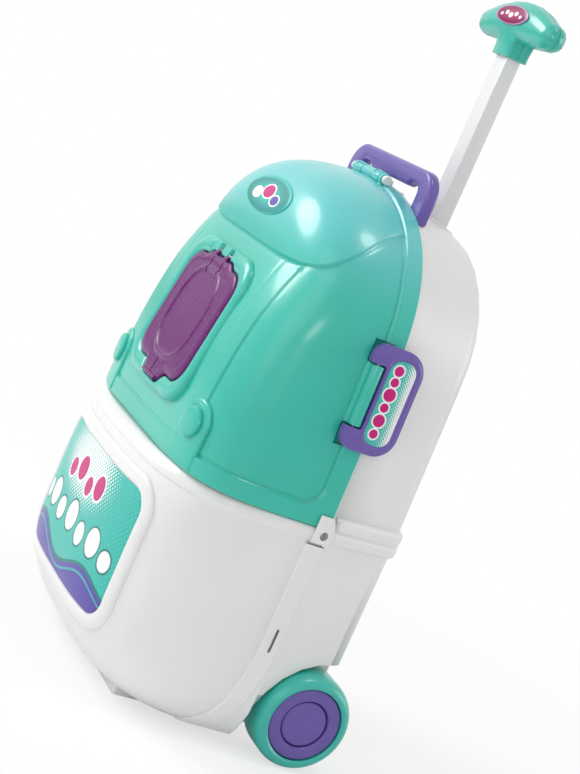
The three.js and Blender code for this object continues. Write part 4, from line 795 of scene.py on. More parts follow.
def bowl_depth(z):
    """How far the bowl stands in front of the seam at a height."""
    z = np.asarray(z, float)
    belly = BOWL_FLOOR + BELLY_RISE
    toe = np.clip((belly - z) / BELLY_RISE, 0, 1)
    rim = np.clip((z - belly) / (PARTING - belly), 0, 1)
    return BOWL_BELLY - TOE_DROP * (1 - np.sqrt(1 - toe ** 2)) - RIM_DROP * rim ** RIM_POWER


def bowl_half(z):
    """Half the width of the bowl at a height."""
    side = np.clip(1 - (np.asarray(z, float) - BOWL_FLOOR) / SIDE_ROUND_HIGH, 0, 1)
    return CASE_HALF - SIDE_ROUND * (1 - np.sqrt(1 - side ** 2))


def bowl_front(x, z):
    """The place of the bowl's front surface along Y."""
    side = np.clip(np.abs(x) / bowl_half(z), 0, 1)
    return -bowl_depth(z) * (1 - side ** BOWL_CORNER) ** (1 / BOWL_CORNER)


STOP_SHARES = (0.5, 0.54, 0.8)
CREASE_HALF = 125.0         # half width below which the creases are drawn in


def plan_row(half, depth, power, stops, counts, creases=()):
    """Points of a plan curve from its right end at the seam round the front to its left end.
    stops are distances from the seam, and creases distances from the middle, at which columns stand.
    Where the curve is small they are drawn in: the stops to STOP_SHARES of its depth, the creases with its width."""
    x, y = powered(np.linspace(0, math.pi / 2, 1600), power)
    x, y = half * x, depth * y
    run = np.concatenate([[0], np.cumsum(np.hypot(np.diff(x), np.diff(y)))])
    edges = [np.interp(min(stop, depth * most), y, run) for stop, most in zip(stops, STOP_SHARES)]
    edges += [np.interp(-crease * min(1.0, half / CREASE_HALF) ** 2, -x, run) for crease in creases] + [run[-1]]
    edges = list(np.maximum.accumulate(edges))
    stations = spaced(np.array([0.0] + edges), counts)
    right = np.stack([np.interp(stations, run, x), -np.interp(stations, run, y)], 1)
    left = right[-2::-1] * (-1, 1)
    return np.concatenate([right, left])


# ---------------------------------------------------------------- pieces

class CaseStep:
    """What every step shares: it can be undone."""
    bl_options = {"REGISTER", "UNDO"}


DOOR_HALF, DOOR_HIGH, DOOR_CORNER = 49.0, 43.0, 16.0
CROWN_RISE, CROWN_FLAT, CROWN_END = 4.0, 19.0, 29.0     # over the door's hinge
TAB_DROP, TAB_FLAT, TAB_END = 8.6, 13.0, 23.0           # the snap tab under it
DOOR_EDGE = 3.0                                         # depth of the edges that the crown and the tab move
DOOR_POINTS = (30, 60)                                  # on each corner and each side
PEG_SPREAD, PEG_HIGH, PEG_LIFT = 10.0, 47.6, 0.7


def door_outline(grow=0.0):
    """The door's outline: rounded corners, a crown at the hinge and a snap tab at the bottom, made wider by grow."""
    points = []
    for u, v in rounded(DOOR_HALF + grow, -DOOR_HIGH - grow, DOOR_HIGH + grow, DOOR_CORNER + grow, *DOOR_POINTS):
        crown = CROWN_RISE * float(1 - smooth(abs(u), CROWN_FLAT + grow, CROWN_END + grow))
        tab = TAB_DROP * float(1 - smooth(abs(u), TAB_FLAT + grow, TAB_END + grow))
        points.append((u, v + crown * (v > DOOR_HIGH - DOOR_EDGE) - tab * (v < DOOR_EDGE - DOOR_HIGH)))
    return np.array(points)


def matched(outline, other):
    """Points on an outline in the same directions from its middle as those of another outline."""
    angle = np.arctan2(outline[:, 1], outline[:, 0])
    order = np.argsort(angle)
    reach = np.hypot(outline[:, 0], outline[:, 1])[order]
    wanted = np.arctan2(other[:, 1], other[:, 0])
    found = np.interp(wanted, angle[order], reach, period=2 * math.pi)
    return np.stack([found * np.cos(wanted), found * np.sin(wanted)], 1)


def flat_ring(name, outer, inner, matrix, section, ceiling=None):
    """A ring between two outlines in a frame's plane. section gives (share from outer to inner, height) round it,
    and ceiling(u, v) the height that it stays under."""
    rings = []
    for share, lift in section + section[:1]:
        flat = outer + (inner - outer) * share
        height = np.full(len(flat), float(lift))
        if ceiling:
            height = np.minimum(height, ceiling(flat[:, 0], flat[:, 1]))
        rings.append(in_frame(np.column_stack([flat, height]), matrix))
    return smoothed(merged(grid_piece(name, np.array(rings), loop=True)), 40)


def in_frame(points, matrix):
    """Points in a frame, in millimetres, as points measured from the seam."""
    turn, shift = np.array(matrix)[:3, :3], np.array(matrix)[:3, 3]
    return np.asarray(points, float) @ turn.T + shift / MM - (0, SEAM_SHIFT, 0)


def cut_out(piece, *tools):
    """Takes tools away from a piece and deletes them."""
    for tool in tools:
        apply(piece, "BOOLEAN", operation="DIFFERENCE", solver="EXACT", object=tool)
        bpy.data.objects.remove(tool, do_unlink=True)
    return piece


def raised_line(reach, width):
    """1 on a line and falling off on both sides of it, at a reach from the line."""
    return np.exp(-(reach / width) ** 2)


class CASE_OT_lid(CaseStep, bpy.types.Operator):
    """The lid's shell with its bands, wave step, front panel and pads, and its door surround and barrels"""
    bl_idname = "case.lid"
    bl_label = "Lid"

    bottom = PARTING + GAP
    band_fall, fine = 1.0, 19.0                 # the bands' edge, and the crowded stretch inside it
    wave_fall = 0.9                             # half the height of the wave step
    panel_half, panel_line, groove_line = 90, 91.6, 72.2
    pad_place, pad_half, button_rise = 88, 17, 31
    ear_low, ear_high, ear_reach, cup_reach = 21.8, 37.8, 8.3, 9.6
    sleeve_place, sleeve_reach = 16, 4.95

    @staticmethod
    def hinge_room(u, v):
        """Room in the door's surround for the door's crown and pegs as it opens."""
        high, crown_depth, notch_depth, notch_half, notch_length = 9, 8.8, 2.6, 2.9, 7.6
        crown = smooth(v, DOOR_HIGH - 1, DOOR_HIGH + 3) * (1 - smooth(np.abs(u), CROWN_END - 3, CROWN_END + 2))
        along = smooth(v, DOOR_HIGH + 1, DOOR_HIGH + 3) * (1 - smooth(v, PEG_HIGH + notch_length,
                                                                      PEG_HIGH + notch_length + 1))
        notch = along * (1 - smooth(np.abs(np.abs(u) - PEG_SPREAD), notch_half, notch_half + 1))
        return high - crown * crown_depth - notch * notch_depth

    @staticmethod
    def side_frame(sign):
        """The frame of a side: along Y, then outwards, its thickness up the side."""
        out = Vector((sign, 0, SIDE_LEAN / SHOULDER_RISE)).normalized()
        return frame_at((sign * SIDE_MIDDLE.x, 0, SIDE_MIDDLE.z), Y_AXIS, out)

    def bare_grid(self, width):
        """Points of the bare lid, in rows and columns that crowd where its bands and steps turn."""
        levels = np.concatenate([np.linspace(self.bottom, SHOULDER, 160),
                                 SHOULDER + ARCH_RISE * np.sin(np.linspace(0, math.pi / 2, 240)[1:])])
        levels[-1] = ARCH_TOP - 0.02
        table = np.array([
            plan_row(float(half_width(z)), float(lid_depth(z)), float(lid_power(z)),
                     [width, width + self.band_fall, width + self.fine], (7, 1, 26, 26, 1, 10, 1, 34),
                     (self.panel_half + 1, self.panel_half, self.groove_line + 0.8, self.groove_line - 0.4))
            for z in levels])
        heights = np.broadcast_to(levels[:, None], table.shape[:2])
        dense = np.concatenate([table, heights[..., None]], 2)
        grid = []
        for j in range(dense.shape[1]):
            line = dense[:, j]
            run = np.concatenate([[0], np.cumsum(np.linalg.norm(np.diff(line, axis=0), axis=1))])
            over = line[:, 2] - wave_height(line[:, 1])
            above = int(np.argmax(over > 0)) or len(levels) - 2
            wave = np.interp(0, over[above - 1:above + 1], run[above - 1:above + 1])
            wave = min(wave, run[-1] - 3)
            edge = np.interp(self.bottom + width, line[:, 2], run)
            stations = spaced(np.array([0, edge, edge + self.band_fall, edge + self.fine, wave - self.wave_fall, wave,
                                        wave + self.wave_fall, run[-1]]), (6, 1, 24, 80, 1, 1, 48))
            grid.append(np.stack([np.interp(stations, run, line[:, k]) for k in range(3)], 1))
        return np.array(grid).transpose(1, 0, 2)

    def relief(self, grid, width, corner):
        """How far each point stands out: bands, dome and front panel, less the grooves beside them."""
        x, y, z = grid[..., 0], -grid[..., 1], grid[..., 2]
        across, up = y - width, z - self.bottom - width
        in_corner = corner - np.hypot(corner - across, corner - up)
        inside = np.where((across < corner) & (up < corner), in_corner, np.minimum(across, up))
        over = z - wave_height(-y)
        front = smooth(y, 60, 66) * (1 - smooth(over, -1.6, -0.4))
        band = 1 - smooth(inside, 0, self.band_fall)
        dome = smooth(over, -0.6, 0.6) * smooth(y, width + 0.6, width + 1.6)
        panel = (1 - smooth(np.abs(x), self.panel_half, self.panel_half + 1)) * front
        lift = np.maximum.reduce([band * mm("band_proud"), dome * DOME_PROUD, panel * mm("panel_proud")])
        lift = lift - raised_line(inside - 1.9, 0.9) * mm("bead")
        lift = lift - raised_line(over + 1.3, 1.0) * smooth(y, width + 2, width + 4) * 0.9
        lift = lift - raised_line(np.abs(x) - self.groove_line, 0.8) * front * smooth(z, 250, 290) * 0.45
        return lift - raised_line(np.abs(x) - self.panel_line, 0.8) * front * 0.5

    def shell(self):
        """The lid's wall, with a hole for the door."""
        width = mm("band_width")
        grid = self.bare_grid(width)
        normal = grid_normals(grid)
        normal[-1] = Z_AXIS
        grid = grid + normal * self.relief(grid, width, mm("band_corner"))[..., None]
        flat, corner, front = 34, 18, -60
        middle = (grid[1:, 1:] + grid[:-1, :-1]) / 2
        across = np.maximum(np.abs(middle[..., 0]) - flat, 0)
        rise = np.maximum(np.abs((middle[..., 2] - DOOR_MIDDLE.z) / DOOR_UP.z) - flat, 0)
        hole = (np.hypot(across, rise) < corner) & (middle[..., 1] < front)
        piece = merged(grid_piece("lid_moulding", grid, keep=~hole), outside=False)
        facing(piece, (0, 0.02, 0.25))
        return apply(piece, "SOLIDIFY", thickness=mm("wall") * MM, offset=-1, use_even_offset=False)

    def pockets(self, piece):
        """Cuts pockets in the sides, in which the clips' ears turn, and makes the cups behind them."""
        tools, cups = [], []
        cup = arc(CLIP_AXIS, self.cup_reach, 209, 331, 24)
        cup_wall = cup + arc(CLIP_AXIS, self.ear_reach, 326, 214, 24)
        room = arc(CLIP_AXIS, self.ear_reach, 0, 352.5, 48)
        for sign in SIDES:
            turned = self.side_frame(sign)
            for end in SIDES:
                low, high = sorted((self.ear_low * end, self.ear_high * end))
                tools.append(plate("pocket", np.array(room), turned, low, high))
                cups.append(plate("cup", np.array(cup_wall), turned, low - 0.5, high + 0.5))
                cups.append(plate("cup_end", np.array(cup), turned, low - 1, low))
                cups.append(plate("cup_end", np.array(cup), turned, high, high + 1))
        smoothed(cut_out(piece, joined("pockets", *tools)), 40)
        return cups

    def surround(self):
        """The rounded ring round the door, and the ledge behind the door's edge."""
        place = frame_at(DOOR_MIDDLE, X_AXIS, DOOR_UP)
        inner, back = door_outline(1.0), door_outline(2.5)
        outer = matched(rounded(59.5, -57, 57, 24, *DOOR_POINTS), inner)
        ring = flat_ring("surround", outer, inner, place, [
            (0, -9), (0, -2.2), (0.04, -1.1), (0.12, -0.1), (0.26, 0.75), (0.45, 1.25), (0.62, 1.25), (0.8, 0.9),
            (0.93, 0.3), (1, -0.6), (1, -9)], self.hinge_room)
        opening = matched(rounded(45.5, -40.5, 40.5, 13, *DOOR_POINTS), back)
        ledge = flat_ring("door_ledge", back, opening, place, [(0, -8.3), (0, -7.6), (1, -7.6), (1, -8.3)])
        return [ring, ledge]

    def pad(self, sign):
        """The pad in a lower corner, with its round button and the collar round that."""
        place, half, high = self.pad_place * sign, self.pad_half, PARTING + self.button_rise
        outline = [(x, self.bottom + 0.4) for x in np.linspace(-half, half, 13)] + arc((0, high), half, 0, 180, 30)
        pad = patch("pad", np.array(outline) + (place, 0), lid_front, [(s, 2.9) for s in np.linspace(0, 0.92, 12)] + [
            (0.955, 2.55), (0.985, 2.1), (1.0, 1.3), (1.0, -0.6), (0, -0.6)], (place, PARTING + 22))
        round_at = {reach: oval(reach, reach, count=48, middle=(place, high)) for reach in (11, 11.6, 14)}
        button = patch("button", round_at[11], lid_front, [
            (0, 6.4), (0.5, 6.4), (0.8, 6.2), (0.93, 5.7), (1.0, 4.6), (1.0, 1.0), (1.0, -1), (0, -1)])
        collar = raised_ring("collar", round_at[14], round_at[11.6], lid_front, rim_section(3.1, 1))
        return [smoothed(pad, 50), smoothed(button), smoothed(collar)]

    def top_barrels(self):
        """The three barrels of the top hinge, with their webs."""
        parts = []
        for low, high in ((-11.5, 11.5), (-26, -20.6), (20.6, 26)):
            parts.append(spun("barrel", [(1.9, low), (4.1, low), (4.4, low + 0.4), (4.4, high - 0.4), (4.1, high),
                                         (1.9, high), (1.9, low)], (0, HINGE_Y, HINGE_Z), X_AXIS, 40))
            foot = frame_at(((low + high) / 2, HINGE_Y + 1, HINGE_Z - 7.6), X_AXIS, Y_AXIS)
            parts.append(plate("web", oval((high - low) / 2, 4.4, 4.0, 40), foot, 0, 6.2, 0.4, 2))
        return parts

    def side_barrels(self, sign):
        """A windowed sleeve over one of the case's hinge arms, and the barrel of a side clip."""
        place, parts = self.sleeve_place * sign, []

        def hinge_plate(name, outline, shift, half, bevel):
            matrix = frame_at((place + shift, HINGE_Y, HINGE_Z), Y_AXIS, Z_AXIS)
            parts.append(plate(name, np.array(outline), matrix, -half, half, bevel, 2))

        for low, high in ((104, 122), (160, 300)):
            sleeve = arc((0, 0), self.sleeve_reach, low, high, 16) + arc((0, 0), self.sleeve_reach - 0.5, high, low, 16)
            hinge_plate("sleeve", sleeve, 0, 5.2, 0.12)
        parts.append(spun("core", [(0, -4.9), (4.25, -4.9), (4.25, 4.9), (0, 4.9)],
                          (place, HINGE_Y, HINGE_Z), X_AXIS, 32))
        for end in (-5.6, 5.6):
            hinge_plate("hoop", arc((0, 0), self.sleeve_reach, 0, 345, 40), end, 0.6, 0.2)
        barrel = arc(CLIP_AXIS, 4.7, -10, 200, 30) + [(-20.6, 0.5), (-22, -1), (-10, -1), (-10.3, 1.2)]
        parts.append(plate("clip_barrel", np.array(barrel), self.side_frame(sign), -21.4, 21.4, 0.6, 3))
        return parts

    def execute(self, context):
        shell = self.shell()
        parts = [shell] + self.pockets(shell) + self.surround()
        for sign in SIDES:
            parts += self.pad(sign)
        parts += self.top_barrels()
        for sign in SIDES:
            parts += self.side_barrels(sign)
        done(joined("lid_moulding", *parts), "lid", "lid_mint", lid_mint, "lid_shell")
        return {"FINISHED"}


class CASE_OT_door(CaseStep, bpy.types.Operator):
    """The door with its raised line, knuckles and snap tab"""
    bl_idname = "case.door"
    bl_label = "Door"

    @staticmethod
    def rod(name, half, reach, nose, place, points):
        """A short rod along X with rounded ends."""
        low_end = arc((reach - nose, nose - half), nose, -90, 0, points)
        high_end = arc((reach - nose, half - nose), nose, 0, 90, points)
        return spun(name, [(0, -half)] + low_end + high_end + [(0, half)], place, X_AXIS, 24)

    def execute(self, context):
        outline, thick, lift, dome, line_width = door_outline(), 3.0, 1.2, 0.8, 1.3
        oval_half, oval_high, power, sink, rim_share, rim_reach = 30, 35, 2.6, 0.35, 0.90, 45
        place = frame_at(DOOR_MIDDLE, X_AXIS, DOOR_UP)
        shares = np.concatenate([np.linspace(0, 0.94, 48), [0.955, 0.97, 0.985, 0.995, 1.0]])
        falls = np.concatenate([np.zeros(48), [-0.04, -0.15, -0.45, -0.9, -1.4]])
        rings = []
        for share, fall in zip(shares, falls):
            u, v = (outline * share).T
            reach = (np.abs(u / oval_half) ** power + np.abs((v - 1) / oval_high) ** power) ** (1 / power)
            height = lift + fall + dome * (1 - share ** 2) - sink * (1 - smooth(reach, 0.93, 0.99))
            height = height + mm("ridge") * raised_line((reach - 1) * oval_half, line_width)
            height = height + sink * raised_line((share - rim_share) * rim_reach, line_width)
            rings.append(in_frame(np.column_stack([u, v, height]), place))
        back = lift - thick
        for share, height in ((1.0, back + 0.4), (0.99, back), (0.6, back), (0, back)):
            rings.append(in_frame(np.column_stack([outline * share, np.full(len(outline), height)]), place))
        door = merged(grid_piece("door_panel", np.array(rings), loop=True), distance=COARSE)
        slits = [plate("slit", rounded(0.65, low, high, 0.6, 4, 2) + (u, 0), place, -4, 8)
                 for u, low, high in ((-PEG_SPREAD, 31, 44.5), (PEG_SPREAD, 31, 44.5), (0, -49, -37))]
        parts = [smoothed(cut_out(door, *slits), 40)]
        for u in (-PEG_SPREAD, PEG_SPREAD):
            parts.append(self.rod("peg", 2.6, 1.8, 0.5, in_frame([(u, PEG_HIGH, PEG_LIFT)], place)[0], 3))
        parts.append(self.rod("tab_lip", 14, 1.7, 0.8, in_frame([(0, -50.5, 1.3)], place)[0], 4))
        done(joined("door_panel", *parts), "door", "door_purple", glitter_purple, "door")
        return {"FINISHED"}


def label_outline(grow=0.0):
    """The front label's outline, made wider by grow."""
    return rounded(LABEL_HALF + grow, LABEL_LOW - grow, LABEL_HIGH + grow, LABEL_CORNER + grow, 16, 30)


class CASE_OT_bowl(CaseStep, bpy.types.Operator):
    """The lower front bowl with its rolled rim and the raised frame of the label"""
    bl_idname = "case.bowl"
    bl_label = "Bowl"

    def execute(self, context):
        top, rim_half = PARTING - GAP, 5.25
        belly = BOWL_FLOOR + BELLY_RISE
        levels = np.concatenate([
            top - rim_half + rim_half * np.cos(np.linspace(0, math.pi, 13)),
            np.linspace(top - 2 * rim_half, belly, 44)[1:],
            BOWL_FLOOR + BELLY_RISE * (1 - np.sin(np.linspace(0, math.pi / 2, 46)))[1:]])[::-1]
        rows = np.array([plan_row(float(bowl_half(z)), float(bowl_depth(z)), BOWL_CORNER, [60], (34, 86))
                         for z in levels])
        heights = np.broadcast_to(levels[:, None], rows.shape[:2])
        grid = np.concatenate([rows, heights[..., None]], 2)
        roll = np.sqrt(np.clip(1 - ((levels - (top - rim_half)) / rim_half) ** 2, 0, 1)) * mm("rim_roll")
        normal = grid_normals(grid)
        normal[levels > 150, :, 2] = 0
        grid = grid + normal * roll[:, None, None]
        floor = np.array([grid[0] * (s, s, 1) for s in (0, 0.3, 0.6, 0.85, 0.95)])
        ledge = np.array([grid[-1] - normal[-1] * inwards - (0, 0, drop)
                          for inwards, drop in ((1.2, 0.1), (4, 0.2), (9, 0.3), (9.3, 2.5))])
        grid = np.concatenate([floor, grid, ledge])
        grid[..., 1] -= GAP / 2
        piece = merged(grid_piece("bowl_moulding", grid), outside=False, distance=COARSE)
        facing(piece, (0, 0.0, 0.12))
        apply(piece, "SOLIDIFY", thickness=mm("wall") * MM, offset=-1, use_even_offset=False)
        frame_ring = raised_ring("frame", label_outline(11), label_outline(0.6), bowl_front,
                                 rim_section(mm("frame_high"), 1.0, 2.6, 17))
        bowl = joined("bowl_moulding", smoothed(piece, 40), smoothed(frame_ring, 50))
        done(bowl, *CASE_WHITE, "lower_front_bowl")
        return {"FINISHED"}


class CASE_OT_labels(CaseStep, bpy.types.Operator):
    """The printed label of the bowl and the printed badge of the dome"""
    bl_idname = "case.labels"
    bl_label = "Labels"

    def execute(self, context):
        shares = np.concatenate([np.linspace(0, 0.98, 36), [0.992]])
        section = [(s, 0.8) for s in shares] + [(1.0, 0.45), (1.0, 0.05), (0.5, 0.05), (0, 0.05)]
        middle = (0, (LABEL_LOW + LABEL_HIGH) / 2)
        label = patch("front_label_print", label_outline(), bowl_front, section, middle)
        done(smoothed(label, 40), "case", "label", front_print, "front_label")
        section = [(s, 2.5) for s in np.linspace(0, 0.95, 14)] + [(0.985, 2.35), (1.0, 1.9), (1.0, 1.2), (0, 1.2)]
        middle = (0, BADGE_MIDDLE)
        badge = patch("lid_badge_print", oval(BADGE_HALF, 13.4, 2.0, 120, middle), lid_front, section, middle)
        done(smoothed(badge, 40), "lid", "label", dome_print, "lid_badge")
        return {"FINISHED"}


class CASE_OT_wheels(CaseStep, bpy.types.Operator):
    """Tyres, hubs and caps, turned about the axle"""
    bl_idname = "case.wheels"
    bl_label = "Wheels"

    def execute(self, context):
        out = CASE_HALF + 5.3           # the tyre's outer face; each profile is (radius, distance along X)
        bore, rim = 27.4, 26.9
        bulge = [(27.5 + 8.1 * math.sin(a) ** 0.8, out - 10.6 + 10.2 * math.cos(a))
                 for a in np.linspace(0.12, math.pi / 2, 14)]
        tyre = [(bore, out - 1.4)] + bulge + arc((31.6, out - 27.9), 4.0, 0, -90, 7) + [
            (bore, out - 31.9), (bore, out - 1.4)]
        hub = [(3.3, out - 11), (17.3, out - 11), (17.6, out - 3.2)] + arc((18.9, out - 3.2), 1.2, 180, 90, 4) + arc(
            (25.4, out - 3.4), 1.4, 90, 0, 5) + [
            (rim, out - 4), (rim, out - 31), (24.5, out - 31.5), (24.5, out - 15), (8, out - 15), (8, out - 29.6),
            (3.3, out - 29.6), (3.3, out - 11)]
        cap = [(0, out - 2.6), (9, out - 2.7), (13.6, out - 3.2)] + arc((15.4, out - 4.6), 1.5, 80, 0, 5) + [
            (16.9, out - 8.7), (8.2, out - 8.7), (0, out - 8.7)]
        for name, profile, maker, slot in (
                ("wheel_tyre", tyre, tyre_mint, "tyre_mint"), ("wheel_hub", hub, hub_plastic, "wheel_purple"),
                ("wheel_cap", cap, hub_plastic, "wheel_purple")):
            right = spun(name + "_right_turned", profile, AXLE, X_AXIS, 128)
            left = mirrored(right, name + "_left_turned")
            done(right, "right_wheel", slot, maker, name + "_right")
            done(left, "left_wheel", slot, maker, name + "_left")
        return {"FINISHED"}


class CASE_OT_handle(CaseStep, bpy.types.Operator):
    """The carry handle on top, a bent flat bar with rounded edges"""
    bl_idname = "case.handle"
    bl_label = "Carry handle"

    def execute(self, context):
        top, under, outer, inner = 418, 403, 70.5, 52
        big, small, shoulder = 19, 7, 3.5                   # its two bends, and the step beside the finger room
        leg_end, leg_inner_end = 380.5, 387.2
        bend = under + shoulder - small
        points = [(outer, leg_end)] + arc((outer - big, top - big), big, 0, 90, 16) + arc(
            (big - outer, top - big), big, 90, 180, 16) + [(-outer, leg_end), (-inner, leg_inner_end)] + arc(
            (small - inner, bend), small, 180, 90, 9)
        points += [(x, under + shoulder * float(smooth(abs(x), 31, 39))) for x in np.linspace(-44, 44, 46)]
        points += arc((inner - small, bend), small, 90, 0, 9) + [(inner, leg_inner_end)]
        place = frame_at((0, 5.1, 0), X_AXIS, Z_AXIS)
        bar = plate("handle_bar", np.array(points), place, -4.6, 4.6, 2.6, 5)
        done(bar, "case", "handle_purple", purple_plastic, "carry_handle")
        return {"FINISHED"}


class CASE_OT_hinge_pin(CaseStep, bpy.types.Operator):
    """The lid's hinge pin with a domed head at each end"""
    bl_idname = "case.hinge_pin"
    bl_label = "Hinge pin"

    def execute(self, context):
        half = [(0, 30.6), (2.7, 30.5), (3.3, 30.1), (3.5, 29.5), (3.5, 26.9), (3.1, 26.5), (1.5, 26.5)]
        profile = half + [(r, -h) for r, h in half[::-1]]
        pin = spun("hinge_pin_turned", profile, (0, HINGE_Y, HINGE_Z), X_AXIS, 48)
        done(pin, *CASE_WHITE, "lid_hinge_pin")
        return {"FINISHED"}


class CASE_OT_clips(CaseStep, bpy.types.Operator):
    """The side clips: a rounded plate with two ears round the lid's barrel, and its printed label"""
    bl_idname = "case.clips"
    bl_label = "Side clips"

    def execute(self, context):
        place = frame_at(SIDE_MIDDLE, Y_AXIS, SIDE_UP)
        rear, front, end, cut = 18.2, -22.6, 37.2, -9.9     # the plate's edges, and the notch for the barrel
        nose, corner = 9, 16
        ear, inside = 22.6, 1.5
        outline = arc((front + nose, nose - end), nose, 180, 270, 10)
        outline += arc((rear - corner, corner - end), corner, 270, 360, 16)
        outline += arc((rear - corner, end - corner), corner, 0, 90, 16)
        outline += arc((front + nose, end - nose), nose, 90, 180, 10) + [(front, ear + 1)]
        outline += arc((front + 1, ear + 1), 1, 180, 270, 4) + arc((cut - inside, ear - inside), inside, 90, 0, 5)
        outline += arc((cut - inside, inside - ear), inside, 0, -90, 5) + arc((front + 1, -ear - 1), 1, 90, 180, 4)
        body = plate("clip", np.array(outline), place, 2.7, 8.3, 2.2, 5)
        label = rounded(10.2, -30.2, 30.2, 8.6, 10, 16) + (2.6, 0)
        edge = rounded(14.0, -36.8, 36.8, 15, 10, 16) + (4.2, 0)
        border = flat_ring("border", edge, label, place, [
            (0, 5.5), (0, 6.9), (0.12, 7.9), (0.3, 8.7), (0.55, 9.05), (0.8, 9.0), (0.95, 8.7), (1, 8.3), (1, 5.5)])
        clip = joined("side_clip_moulding_right", body, border)
        card = plate("side_clip_print_right", rounded(10.1, -30.0, 30.0, 8.4, 10, 16) + (2.6, 0), place,
                     7.6, 8.6, 0.2, 2)
        for piece, slot, maker, node in ((clip, "handle_purple", purple_plastic, "side_clip"),
                                         (card, "label", clip_print, "side_clip_label")):
            twin = mirrored(piece, piece.name.replace("right", "left"))
            done(piece, "right_clip", slot, maker, node + "_right")
            done(twin, "left_clip", slot, maker, node + "_left")
        return {"FINISHED"}


class CASE_OT_seam_strips(CaseStep, bpy.types.Operator):
    """The strip over each side seam, with its toe that runs forward under the bowl and its slot"""
    bl_idname = "case.seam_strips"
    bl_label = "Seam strips"

    @staticmethod
    def slot(sign):
        """The slot through a strip and the shell behind it, as a tool to cut with."""
        place = frame_at((sign * (CASE_HALF + 0.5), 0, 0), Y_AXIS, Z_AXIS)
        return plate("slot", rounded(1.3, 79, 97, 1.2, 5, 4) + (-4.2, 0), place, -5, 5)

    def execute(self, context):
        low, high, lift, width, rear_edge = 10.2, 160, 3.1, 13.8, 2.9
        toe_high, toe_rise, toe_end, toe_reach = 87, 79, -48, 36.8
        section = [(0, -0.8), (0, 2.1), (0.1, 2.6), (0.4, 2.95), (0.8, lift)]
        levels = np.concatenate([[low, low], np.linspace(low, high, 90), [high, high]])
        grid = []
        for k, z in enumerate(levels):
            drop = min(max(toe_high - z, 0) / toe_rise, 1)
            front = toe_end + toe_reach * math.sqrt(1 - drop ** 2)
            rear = min(rear_edge, front + width)
            closed = k in (0, len(levels) - 1)
            across = [(front + inwards, out) for inwards, out in section]
            across += [(y, lift) for y in np.linspace(front + 0.8, rear - 0.8, 14)[1:-1]]
            across += [(rear - inwards, out) for inwards, out in section[::-1]]
            row = []
            for y, out in across:
                if closed:
                    y, out = (front + rear) / 2, 0.5
                share = min(abs(min(y, 0)) / bowl_depth(z), 1)
                side = bowl_half(z) * (1 - share ** BOWL_CORNER) ** (1 / BOWL_CORNER)
                row.append((side + out, y, z))
            grid.append(row)
        strip = merged(grid_piece("seam_strip_right", np.array(grid, float), loop=True))
        smoothed(cut_out(strip, self.slot(1)))
        for piece in (strip, mirrored(strip, "seam_strip_left")):
            done(piece, *CASE_WHITE)
        return {"FINISHED"}


class CASE_OT_rear_band(CaseStep, bpy.types.Operator):
    """The rolled band round the rear shells, in an upper and a lower half, and the core between them"""
    bl_idname = "case.rear_band"
    bl_label = "Rear band"

    @staticmethod
    def path():
        """Points (x, y) with their outward directions, from the right end round the back to the left end."""
        start, corner = 4.0, CASE_HALF - REAR_TAPER - REAR_ROUND
        path = [(CASE_HALF - REAR_TAPER * y / REAR_DEPTH, y, 1.0, 0.0) for y in np.linspace(start, REAR_DEPTH, 24)]
        path += [(corner + REAR_ROUND * math.cos(a), REAR_DEPTH + REAR_ROUND * math.sin(a), math.cos(a), math.sin(a))
                 for a in np.linspace(0, math.pi / 2, 12)[1:]]
        path += [(x, REAR_FACE, 0.0, 1.0) for x in np.linspace(corner, 0, 8)[1:]]
        return path + [(-x, y, -nx, ny) for x, y, nx, ny in path[-2::-1]]

    def execute(self, context):
        path, turn = self.path(), np.linspace(0, math.pi, 19)
        proud, power, end_share, end_step = mm("rear_band") * 1.2, 2.8, 0.55, 0.2
        for name, low, high in (("upper", PARTING + 0.2, PARTING + 10.0), ("lower", PARTING - 9.6, PARTING - 0.2)):
            middle, half = (low + high) / 2, (high - low) / 2
            section = [(proud * (1 - abs(math.cos(t)) ** power) ** (1 / power), middle + half * math.cos(t))
                       for t in turn]
            section = [(-1.2, high)] + section + [(-1.2, low)]
            rows = []
            for k, (x, y, nx, ny) in enumerate(path):
                share = min(1.0, end_share + min(k, len(path) - 1 - k) * end_step)
                rows.append([(x + nx * out * share, y + ny * out * share, z) for out, z in section])
            done(smoothed(capped("rear_band_" + name, rows), 50), *CASE_WHITE)
        section = ((-1.3, PARTING - 3), (2.7, PARTING - 3), (2.7, PARTING + 2.5), (-1.3, PARTING + 2.5))
        core = [[(x + nx * out, y + ny * out, z) for out, z in section] for x, y, nx, ny in path]
        done(capped("rear_band_core", core), *CASE_WHITE)
        return {"FINISHED"}


